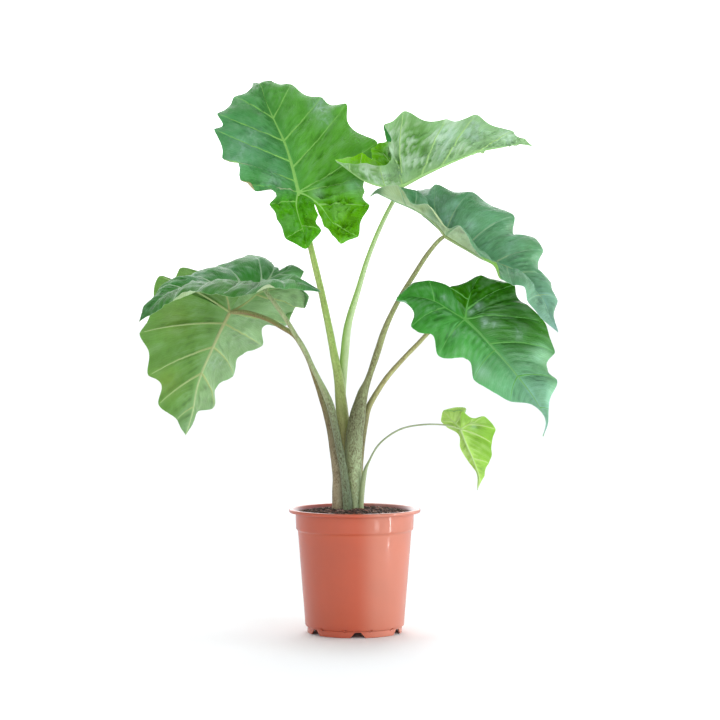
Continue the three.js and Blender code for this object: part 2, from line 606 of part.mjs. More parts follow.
// Soil: turned to the pot's inside, with a low mound whose top is broken by crossing waves.
function soilGeometry() {
  const inner = (radius) => radius - WALL - SOIL.gap;
  const bottom = FLOOR_Z + WALL + SOIL.gap;
  const edge = inner(BAND.topRadius) - SOIL.gap;
  const mound = (share) => SOIL.middleZ + (SOIL.edgeZ - SOIL.middleZ) * share ** MOUND_POWER;
  const profile = [
    [0, bottom], [inner(BODY.bottomRadius) - SOIL.gap, bottom + SOIL.gap],
    [inner(BODY.topRadius), BODY.topZ], [inner(BAND.bottomRadius), BAND.bottomZ + 1],
    [edge, SOIL.edgeZ], ...SOIL_RINGS.map((share) => [edge * share, mound(share)]),
  ];
  const points = profile.map(([radius, z]) => new THREE.Vector2(radius, z));
  const lathe = new THREE.LatheGeometry(points, SOIL.segments);
  lathe.rotateX(Math.PI / 2);
  const place = lathe.attributes.position;
  for (let i = 0; i < place.count; i += 1) {
    const x = place.getX(i);
    const y = place.getY(i);
    const inside = THREE.MathUtils.smoothstep(edge - Math.hypot(x, y), SOIL.flatRim, SOIL.fullBumpFrom);
    const crossing = Math.sin(x / SOIL_WAVES.x + 1) * Math.cos(y / SOIL_WAVES.y);
    const bump = crossing + Math.sin((x + y) / SOIL_WAVES.across);
    if (place.getZ(i) > SOIL.edgeZ) place.setZ(i, place.getZ(i) + SOIL.bump * bump * inside);
  }
  return lathe;
}

function solidOf(geometry) {
  const bare = geometry.clone();
  bare.deleteAttribute("normal");
  bare.deleteAttribute("uv");
  const merged = mergeVertices(bare, 1e-3);
  const corners = [...merged.index.array];
  const triVerts = [];
  for (let i = 0; i < corners.length; i += 3) {
    const [a, b, c] = corners.slice(i, i + 3);
    if (a !== b && b !== c && a !== c) triVerts.push(a, b, c);
  }
  return new wasm.Manifold(new wasm.Mesh({
    numProp: 3,
    vertProperties: new Float32Array(merged.attributes.position.array),
    triVerts: new Uint32Array(triVerts),
  }));
}

function geometryOf(solid) {
  const { vertProperties, triVerts } = solid.getMesh();
  return indexedGeometry(Array.from(vertProperties), Array.from(triVerts));
}

// The biggest of the loose bodies that a cut leaves.
function mainBody(solid) {
  return solid.decompose().reduce((best, body) => (body.volume() > best.volume() ? body : best));
}

function namedMesh(name, geometry, colour, roughness) {
  const material = new THREE.MeshStandardMaterial({ color: colour, roughness, metalness: 0 });
  const mesh = new THREE.Mesh(geometry, material);
  mesh.name = name;
  return mesh;
}

// Stems clasp each other at the foot. The ones in front keep their full round, in this order, and
// those behind give way to them. Every stem also stops just under its own blade.
const FRONT_TO_BACK = [
  "leaf_left", "leaf_small", "leaf_right", "leaf_lower_left", "leaf_top_left", "leaf_lower_right",
  "leaf_top_right",
];

// Cuts the blade out of the stem's end, with the gap on every side of it.
function clearOfBlade(stem, leaf) {
  const shifts = [[0, 0, 0], [GAP, 0, 0], [-GAP, 0, 0], [0, GAP, 0], [0, -GAP, 0], [0, 0, GAP], [0, 0, -GAP]];
  let cut = stem.subtract(solidOf(bladeGeometry(leaf, GAP)));
  for (const shift of shifts) cut = cut.subtract(solidOf(bladeGeometry(leaf).translate(...shift)));
  return cut;
}

function stemSolids() {
  const solids = {};
  const inFront = [];
  for (const name of FRONT_TO_BACK) {
    const leaf = LEAVES.find((each) => each.name === name);
    let stem = solidOf(stemGeometry(leaf));
    for (const other of inFront) stem = stem.subtract(solidOf(stemGeometry(other, GAP)));
    solids[name] = mainBody(clearOfBlade(stem, leaf));
    inFront.push(leaf);
  }
  return solids;
}

const plant = new THREE.Group();
plant.name = "potted_elephant_ear";
plant.position.set(-SPREAD_MIDDLE.x, -SPREAD_MIDDLE.y, 0);

plant.add(namedMesh("pot", geometryOf(potSolid()), 0xcd775c, 0.45));

let soil = solidOf(soilGeometry());
for (const leaf of LEAVES) soil = soil.subtract(solidOf(stemGeometry(leaf, GAP)));
plant.add(namedMesh("soil", geometryOf(mainBody(soil)), 0x5b4d40, 0.95));

const stems = stemSolids();
for (const leaf of LEAVES) {
  const group = new THREE.Group();
  group.add(namedMesh(`${leaf.name}_stem`, geometryOf(stems[leaf.name]), leaf.stemColour, 0.5));
  group.add(namedMesh(`${leaf.name}_blade`, bladeGeometry(leaf), leaf.colour, 0.4));
  plant.add(group);
}

export default plant;
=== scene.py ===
"""A potted elephant ear in its nursery pot, dressed over the frame: smooth waved blades with ribs and
veins, mottled stems, a satin plastic pot and loose bark soil, on a pale floor in soft studio light."""

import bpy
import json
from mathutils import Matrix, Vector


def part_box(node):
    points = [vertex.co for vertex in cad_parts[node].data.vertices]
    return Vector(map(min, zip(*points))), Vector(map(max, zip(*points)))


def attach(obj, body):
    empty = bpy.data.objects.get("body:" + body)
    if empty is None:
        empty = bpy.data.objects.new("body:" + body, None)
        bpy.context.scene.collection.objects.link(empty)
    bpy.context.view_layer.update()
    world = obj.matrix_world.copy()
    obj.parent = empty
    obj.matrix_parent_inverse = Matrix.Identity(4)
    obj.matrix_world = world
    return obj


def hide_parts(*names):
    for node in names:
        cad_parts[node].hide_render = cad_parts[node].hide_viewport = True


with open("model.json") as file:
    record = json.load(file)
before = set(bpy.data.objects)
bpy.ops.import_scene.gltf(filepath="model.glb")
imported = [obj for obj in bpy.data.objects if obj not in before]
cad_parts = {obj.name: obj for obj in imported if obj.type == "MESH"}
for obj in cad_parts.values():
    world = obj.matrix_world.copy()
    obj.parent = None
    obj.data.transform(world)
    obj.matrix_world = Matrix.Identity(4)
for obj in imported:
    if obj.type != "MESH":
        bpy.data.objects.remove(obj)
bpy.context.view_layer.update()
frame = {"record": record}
SLOTS = {row["node"]: row["material_slot"] for row in frame["record"]["subparts"]}

import json
import math
from functools import partialmethod

import bpy
import numpy as np
from mathutils import Vector

bl_info = {
    "name": "Potted Elephant Ear",
    "version": (1, 0, 0),
    "blender": (4, 5, 0),
    "location": "3D View > Sidebar > Plant",
    "description": "Builds a potted elephant ear plant with its studio",
    "category": "Add Mesh",
}

MM = 0.001

# The pot's own axis in the frame, in millimetres. Sizes and places below are measured from it.
POT_BOX = [np.array(corner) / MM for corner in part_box("pot")]
POT_AXIS = np.array([*((POT_BOX[0] + POT_BOX[1]) / 2)[:2], 0.0])

# The eye that the outlines are set out from. Points are [x, z, depth]: a place on the upright plane
# through the pot's axis as that eye sees it, pushed back (+) or forward (-) along the line of sight.
EYE = np.array([8.5, -3800.0, 540.0])
AIM_HEIGHT = 434.8

# Where all stems start inside the soil, and the seeds of the stems' and the blades' random waves.
STEM_FOOT_Z = 182
FIRST_STEM_SEED = 40
FIRST_BLADE_SEED = 100
BLADE_SEED_STEP = 10

# Each leaf. A stem runs from the soil to the leaf's junction and its points end with its width. The
# midrib runs on from there to the tip, and so does a costa, the rib of a half's back lobe, to the
# lobe's end. A half's margin has points of [at, x, z, depth, notch]: at 0 to 1 the edge goes out along
# the inner side of the costa, at 1 to 2 back along its outer side, and at 2 to 3 along the midrib, and
# notch is how far the edge draws in before the next point. A side vein runs out to each of the points
# in veins. bow is how far the half swells up. Left and right are as seen on the upper face with the
# tip ahead.
LEAVES = [
  {
    "name": "leaf_top_left",
    "stem": [
      [-12, STEM_FOOT_Z, 15, 14], [-12, 205, 15, 15], [-14, 300, 17, 19], [-20, 352, 19, 20],
      [-26, 407, 22, 15], [-34, 450, 26, 12.6], [-50, 530, 37, 10.8], [-67, 602, 50, 10],
      [-82, 665, 62, 9], [-90, 702, 70, 8],
    ],
    "midrib": [
      [-98, 737, 98], [-111, 779, 133], [-130, 820, 168], [-142, 847, 192],
      [-152, 873, 226], [-161, 864, 260], [-168, 838, 290],
    ],
    "left": {
      "bow": 6,
      "veins": (2, 4, 6, 9, 12, 13, 14, 15),
      "costa": [[-93, 681, 56], [-88, 659, 44], [-81, 637, 33], [-79, 624, 27]],
      "margin": [
        [0.25, -66, 690, 62, 3], [0.45, -58, 666, 44, 8], [0.7, -53, 642, 34, 5], [1, -78, 612, 22, 3],
        [1.25, -110, 629, 28, 3], [1.55, -124, 660, 42, 4], [1.8, -136, 684, 54, 8],
        [2, -131, 706, 68, 0], [2, -160, 705, 71, 0], [2, -169, 714, 76, 4], [2, -182, 722, 84, 0],
        [2.03, -185, 749, 94, 2], [2.07, -209, 756, 102, 12], [2.2, -224, 803, 134, 15],
        [2.34, -219, 828, 158, 8], [2.5, -192, 855, 190, 11], [2.7, -160, 877, 242, 6],
      ],
    },
    "right": {
      "bow": 6,
      "veins": (5, 6, 8, 9, 11, 12, 13),
      "costa": [[-72, 693, 64], [-55, 680, 57], [-41, 661, 48], [-24, 640, 37]],
      "margin": [
        [0.3, -68, 688, 60, 1], [0.5, -57, 668, 52, 2], [0.7, -49, 648, 42, 3], [0.85, -36, 634, 35, 2],
        [1, -22, 620, 28, 4], [1.2, 5, 632, 36, 11], [1.6, 24, 682, 62, 7], [1.85, 16, 704, 76, 4],
        [2, 20, 728, 92, 6], [2, 36, 782, 120, 2], [2.07, -7, 809, 144, 5], [2.16, -13, 843, 166, 12],
        [2.34, -53, 854, 186, 9], [2.5, -101, 875, 208, 8], [2.7, -136, 881, 236, 3],
      ],
    },
  },
  {
    "name": "leaf_top_right",
    "stem": [
      [-10, STEM_FOOT_Z, 31, 14], [-11, 205, 31, 14], [-19, 300, 33, 14], [-21, 377, 35, 14],
      [-16, 445, 37, 14], [-12, 483, 38, 12.5], [6.5, 550, 43, 9], [22, 600, 47, 7.8],
      [50, 666, 56, 7], [75, 712, 60, 6.4],
    ],
    "midrib": [
      [107, 729, 66], [139, 744, 72], [170, 757, 76], [200, 768, 80],
      [233, 774, 85], [265, 779, 89], [283, 776, 91],
    ],
    "left": {
      "bow": -4,
      "veins": (0, 4, 6, 7, 8, 9, 10),
      "costa": [[66, 736, 80], [52, 756, 92], [40, 770, 98]],
      "margin": [
        [0.35, 54, 744, 70, 2], [0.7, 30, 750, 72, 3], [1, 27, 772, 88, 3], [1.35, 38, 781, 100, 3],
        [1.7, 55, 786, 116, 5], [2, 80, 774, 138, 6], [2, 112, 770, 156, 8], [2.16, 144, 770, 166, 8],
        [2.32, 182, 776, 166, 8], [2.57, 232, 784, 146, 6], [2.82, 266, 784, 112, 3],
      ],
    },
    "right": {
      "bow": -5,
      "veins": (2, 5, 7, 10, 11, 12, 13, 14),
      "costa": [[53, 711, 50], [30, 715, 41], [13, 722, 34], [-2, 732, 28], [-24, 748, 22]],
      "margin": [
        [0.2, 64, 737, 66, 2], [0.45, 36, 752, 58, 3], [0.7, 12, 765, 47, 4], [0.88, -10, 759, 36, 2],
        [1, -31, 754, 22, 2], [1.2, -8, 748, 14, 1], [1.45, 14, 748, 10, 2], [1.75, 40, 745, 14, 2],
        [2, 54, 751, 20, 3], [2, 52, 784, 14, 2], [2, 46, 809, 8, 9], [2, 77, 832, 14, 11],
        [2.16, 146, 819, 34, 9], [2.32, 192, 827, 46, 10], [2.57, 252, 800, 70, 5], [2.82, 272, 787, 82, 1],
      ],
    },
  },
  {
    "name": "leaf_right",
    "stem": [
      [0, STEM_FOOT_Z, 0, 26], [0, 205, 0, 27], [-2, 255, 0, 26], [-2, 290, 0, 28],
      [1, 325, -1, 27], [4, 342, -1, 26], [8, 362, -1, 21.5], [13, 382, -2, 16.5], [20, 400, -2, 11.5],
      [37, 450, -2, 11], [47, 481, -2, 9.5], [70, 530, -3, 8], [95, 571, -5, 7.6],
      [121, 610, -7, 7], [135, 626, -9, 6.6], [144, 633, -10, 6.4],
    ],
    "midrib": [
      [164, 621, -18], [183, 610, -27], [205, 597, -37], [224, 590, -47],
      [258, 576, -60], [280, 554, -70], [301, 529, -80], [312, 503, -86], [324.5, 479, -90],
    ],
    "left": {
      "bow": 8,
      "veins": (1, 3, 5, 6, 7, 10, 12, 13),
      "costa": [[133, 655, 22], [118, 676, 56], [101, 688, 88]],
      "margin": [
        [0.4, 106, 667, 34, 3], [0.75, 86, 685, 74, 3], [1, 84, 698, 104, 3], [1.3, 98, 706, 110, 2],
        [1.6, 112, 707, 102, 3], [2, 129, 715, 84, 12], [2, 188, 704, 60, 13], [2.16, 255, 665, 36, 2],
        [2.24, 256, 634, 14, 1], [2.32, 286, 630, 2, 0], [2.38, 301, 610, -12, 2],
        [2.46, 293, 587, -24, 4], [2.55, 314, 560, -42, 5], [2.74, 324, 530, -66, 8],
      ],
    },
    "right": {
      "bow": 3,
      "veins": (1, 5, 9, 11, 13, 15),
      "costa": [[125, 655, -16], [100, 672, -18], [61, 689, -16], [33, 702, -12]],
      "margin": [
        [0.25, 121, 677, 4, 2], [0.5, 97, 706, 22, 4], [0.75, 52, 712, 14, 2], [1, 23, 695, -6, 1],
        [1.2, 36, 708, -22, 1], [1.4, 70, 714, -28, 6], [1.6, 94, 684, -34, 1], [1.75, 114, 682, -40, 2],
        [2, 148, 645, -36, 1], [2, 168, 650, -64, 8], [2.16, 203, 600, -104, 1], [2.24, 224, 586, -120, 0],
        [2.32, 232, 563, -130, 1], [2.46, 252, 557, -128, 1], [2.6, 269, 554, -122, 0],
        [2.74, 277, 530, -114, 3], [2.88, 297, 502, -104, 1],
      ],
    },
  },
  {
    "name": "leaf_lower_right",
    "stem": [
      [6, STEM_FOOT_Z, 17, 11], [6, 205, 17, 11], [14, 320, 16, 11], [22.5, 360, 14, 10],
      [34, 381, 9, 9], [57, 414, 2, 8], [74, 433, -3, 7.5], [100, 460, -12, 7], [122, 482, -20, 6.8],
      [146, 495, -30, 6.5], [176, 500, -45, 6.4],
    ],
    "midrib": [
      [200, 476, -60], [228, 446, -80], [262, 406, -105], [293, 363, -130],
      [307, 335, -142], [301, 313, -148],
    ],
    "left": {
      "bow": 5,
      "veins": (1, 5, 8, 9, 11, 12),
      "costa": [[180, 525, -37], [187, 547, -28]],
      "margin": [
        [0.35, 161, 530, -40, 1], [0.65, 151, 551, -34, 1], [0.82, 170, 556, -28, 1], [1, 201, 570, -18, 3],
        [1.3, 228, 564, -18, 1], [1.7, 255, 555, -22, 1], [2, 261, 533, -27, 1], [2, 276, 523, -31, 1],
        [2, 304, 495, -40, 5], [2.24, 320, 449, -70, 3], [2.42, 308, 421, -90, 3],
        [2.54, 323, 404, -98, 5], [2.8, 310, 356, -134, 0], [2.92, 308, 330, -145, 0],
      ],
    },
    "right": {
      "bow": 5,
      "veins": (2, 7, 10, 12, 13),
      "costa": [[155, 512, -43], [128, 528, -38], [98, 535, -33], [82, 533, -31]],
      "margin": [
        [0.2, 164, 531, -40, 1], [0.35, 151, 552, -36, 1], [0.55, 118, 562, -30, 1], [0.8, 93, 558, -27, 3],
        [1, 66, 530, -28, 2], [1.2, 84, 524, -34, 0], [1.45, 94, 512, -44, 2], [1.65, 90, 488, -54, 0],
        [1.85, 104, 479, -60, 0], [2, 122, 477, -64, 1], [2, 134, 442, -78, -3], [2.14, 176, 438, -84, 6],
        [2.3, 190, 404, -100, 4], [2.54, 249, 369, -122, 1], [2.8, 287, 361, -132, 2],
        [2.92, 305, 336, -143, 0],
      ],
    },
  },
  {
    "name": "leaf_lower_left",
    "stem": [
      [-24, STEM_FOOT_Z, 6, 25], [-24, 205, 6, 25], [-25, 256, 7, 22], [-31, 293, 9, 19],
      [-39, 335, 13, 16], [-50, 369, 18, 12], [-62, 404, 26, 9.5], [-79, 448, 45, 9],
      [-97, 475, 60, 8.6], [-116, 487, 72, 8.2], [-137, 499, 86, 8], [-156, 506, 98, 8],
      [-175, 511, 108, 7.8], [-199, 511, 120, 7.5],
    ],
    "midrib": [
      [-214, 482, 135], [-230, 447, 148], [-244, 415, 160], [-252, 390, 168],
      [-259, 351, 178], [-270, 315, 184],
    ],
    "left": {
      "bow": -5,
      "veins": (3, 6, 9, 10, 12, 13),
      "costa": [[-204, 535, 118], [-214, 557, 115]],
      "margin": [
        [0.35, -184, 539, 122, 2], [0.7, -194, 566, 118, 3], [1, -214, 581, 113, 2],
        [1.4, -246, 577, 114, 0], [1.65, -279, 581, 118, 1], [1.8, -288, 565, 120, 0],
        [2, -311, 569, 126, 0], [2, -319, 554, 128, 3], [2.05, -327, 505, 140, 2],
        [2.1, -343, 478, 146, 18], [2.3, -329, 410, 160, 1], [2.38, -311, 400, 166, 2],
        [2.52, -313, 364, 176, 0], [2.78, -284, 340, 182, -2],
      ],
    },
    "right": {
      "bow": -6,
      "veins": (1, 4, 7, 9, 11, 13),
      "costa": [[-176, 524, 124], [-150, 543, 130], [-116, 548, 134]],
      "margin": [
        [0.4, -179, 545, 122, 2], [0.75, -130, 562, 126, 2], [1, -95, 554, 130, 2],
        [1.25, -73, 538, 134, 1], [1.45, -80, 520, 140, 0], [1.6, -86, 529, 142, 1],
        [1.8, -99, 514, 148, 1], [2, -106, 495, 156, 2], [2, -146, 490, 184, 2],
        [2.1, -148, 458, 212, 5], [2.22, -189, 439, 224, 2], [2.3, -195, 411, 232, 4],
        [2.44, -222, 390, 230, 2], [2.52, -227, 359, 222, 0], [2.66, -249, 355, 212, 2],
        [2.78, -260, 332, 198, 0],
      ],
    },
  },
  {
    "name": "leaf_left",
    "stem": [
      [-11, STEM_FOOT_Z, -15, 16], [-11, 205, -15, 16], [-15, 239, -15, 13], [-18.5, 265, -15, 12],
      [-24, 293, -15, 12], [-32.5, 335, -15, 11.5], [-39, 362, -15, 12.5], [-47, 382, -15, 11],
      [-56, 401, -15, 8.6], [-69, 427, -15, 8], [-81, 453, -16, 7.6], [-93, 472, -16, 7.6],
      [-106, 494, -17, 7], [-131, 530, -18, 6.6], [-143, 546, -19, 6.2], [-149, 557, -20, 6],
    ],
    "midrib": [[-200, 560, -30], [-250, 556, -39], [-300, 540, -50], [-344, 496, -60]],
    "left": {
      "bow": 3,
      "veins": (1, 5, 7, 8, 9, 10),
      "costa": [[-125, 558, -34], [-95, 558, -48], [-70, 550, -60]],
      "margin": [
        [0.3, -122, 563, -27, 1], [0.55, -96, 571, -32, 2], [0.8, -78, 560, -46, 1],
        [1, -54, 544, -66, 1], [1.35, -84, 548, -84, 3], [1.7, -112, 549, -104, 3],
        [2, -136, 552, -122, 6], [2, -176, 538, -134, 5], [2.16, -212, 540, -138, 6],
        [2.38, -254, 543, -130, 6], [2.6, -290, 530, -114, 5], [2.82, -320, 511, -90, 3],
      ],
    },
    "right": {
      "bow": 6,
      "veins": (1, 5, 6, 7, 8, 9),
      "costa": [[-136, 564, 0], [-120, 572, 20], [-107, 579, 34]],
      "margin": [
        [0.35, -121, 560, 8, 2], [0.65, -86, 566, 22, 1], [0.85, -81, 576, 34, 2], [1, -101, 587, 46, 4],
        [1.35, -119, 571, 56, 0], [1.7, -131, 588, 68, 6], [2, -165, 603, 80, 9],
        [2.16, -224, 583, 74, 7], [2.38, -280, 561, 40, 4], [2.6, -316, 545, 6, 0],
        [2.7, -320, 532, -8, 0], [2.82, -336, 521, -30, 1],
      ],
    },
  },
  {
    "name": "leaf_small",
    "stem": [
      [10.5, STEM_FOOT_Z, -12, 8], [10.5, 205, -12, 8], [12, 225, -11, 8], [15, 250, -9, 7.4],
      [18, 262, -6, 5.5], [23, 273, -3, 3.6], [38, 299, 2, 3], [55, 314, 5, 2.9], [78, 326, 8, 2.8],
      [104, 331, 11, 2.8], [130, 332, 14, 2.7], [154, 329, 18, 2.7], [169, 324, 22, 2.6],
    ],
    "midrib": [[178, 301, 29], [192, 268, 36], [199, 245, 39], [196, 227, 41]],
    "left": {
      "bow": -2,
      "veins": (1, 4, 6, 8),
      "costa": [[161, 333, 27], [152, 342, 30]],
      "margin": [
        [0.3, 171, 344, 29, 0], [0.5, 178, 357, 32, 0], [0.7, 162, 359, 33, 1], [1, 141, 353, 33, 1],
        [1.35, 138, 337, 32, 1], [1.7, 148, 327, 31, 1], [2, 167, 314, 30, 1], [2.2, 168, 297, 34, 0],
        [2.5, 182, 272, 39, 0], [2.75, 195, 254, 41, 0],
      ],
    },
    "right": {
      "bow": -3,
      "veins": (1, 3, 4, 6),
      "costa": [[180, 331, 27], [192, 336, 31]],
      "margin": [
        [0.35, 172, 352, 30, 1], [0.7, 189, 342, 31, 1], [1, 206, 345, 34, 2], [1.4, 225, 324, 37, 2],
        [2, 219, 302, 39, 1], [2.2, 219, 284, 41, 0], [2.5, 214, 270, 43, 2], [2.75, 207, 249, 43, 1],
      ],
    },
  },
]

for leaf in LEAVES:
    junction = leaf["stem"][-1][:3]
    for ribs in (leaf["midrib"], leaf["left"]["costa"], leaf["right"]["costa"]):
        ribs.insert(0, junction)

# A blade's outline rules, the same as the solids'.
QUILT = 0.03
FORWARD_BEND = 0.05
FULL_BOW_LENGTH = 60
MOST_DRAW_IN = 0.5
CURVE_STEP = 0.003

# How finely a blade is divided: steps along the midrib and the costa, columns in a fan round the
# junction, and rows from a rib to the margin, closer together near the rib. Places along the margin
# are rounded to DIGITS, and points that agree to a WELD of a millimetre are one.
MIDRIB_STEP = 0.011
COSTA_STEP = 0.05
FAN = 9
ROWS = 26
ROW_POWER = 1.35
SMOOTH_COLUMNS = 5
TOOTH_ROUNDING = 1.5
TINY = 1e-6
DIGITS = 9
WELD = 1e-4
FAR = 99.0

# The places along the margin where the lobe ends, the midrib starts and the tip is, and the stretch
# over which what is said of a back lobe changes to what is said of the blade.
LOBE_END, MIDRIB_START, TIP = 1, 2, 3
LOBE_MIX = (1.7, 2.15)

# Finer relief of a blade. Heights, lengths and spacings are in millimetres. rise and fall are the
# stretches between a rib (0) and the margin (1) over which something comes and goes, and a power says
# how close to the margin something keeps.
RIPPLE_WAVES = 7
RIPPLE_LENGTHS = (0.6, 1.6)
PUFF = {"share": 0.085, "widest": 60, "rise": (0, 0.25), "power": 6}
PLEATS = {"spacing": 9.5, "wander": 5, "wander_length": 45, "rise": (0.03, 0.2), "fall": (0.3, 0.75),
          "share": 0.4}
BLISTERS = {"length": 11, "drawn_out": 0.35, "rise": (0.02, 0.2), "loss": 0.4}
CRUMPLES = {"length": 15, "depth": 2.5, "rise": (0.02, 0.25), "loss": 0.85, "power": 4}
BULGE_RISE = (0, 0.2)
EDGE_WAVE = {"height": 2.0, "length": 34, "power": 5}
EDGE_ROLL = {"height": 1.6, "power": 9}
CREST = {"pleats": 0.5, "puff": 0.4, "folds": 0.32}

# Thickness of a blade at its edge and at a rib, and how far from a rib it has thinned to a third of
# the difference.
EDGE_THICKNESS = 0.45
RIB_THICKNESS = 0.6
RIB_REACH = 8

# A turned-over stretch of margin, which takes its inward direction from the row that many from the
# edge, and the values at its points.
ROLL = {"turn": 200, "rows": 12, "least": 0.12, "thickness": 0.5, "uneven": 0.25, "uneven_length": 9,
        "inward_row": -6}
ROLL_VALUES = {"vein": FAR, "along": FAR, "edge": FAR, "under": 0.5, "gloss": 0.6}

# The bars that stand out of a blade: radius at the far end, how fast it thins, sides, and how high
# the half above the blade is as a share of its width. A costa's share is of the midrib's thickness,
# and a vein's of its own length, within limits.
MIDRIB = {"least": 0.7, "power": 0.9, "sides": 14, "top": 0.45}
COSTA = {"least": 0.55, "power": 1.1, "sides": 12, "top": 0.5, "share": 0.66}
VEIN = {"least": 0.5, "power": 0.8, "sides": 8, "top": 0.72, "share": 0.017, "limits": (0.4, 1.5)}
RIB_COLOUR_POWER = 0.6
RIB_LEAST_STEP = 0.05

# How far and how strongly the colour of one half reaches into the other, and the heights of crest
# over which the hollows are painted darker as shade, by how much, and over which the painted
# highlight on crests comes on.
HALVES_MIX = {"reach": 16, "share": 0.5}
HOLLOW_SHADE = {"crest": (0.1, -1.2), "share": 0.30}
CREST_HIGHLIGHT_SPAN = (0.0, 1.4)
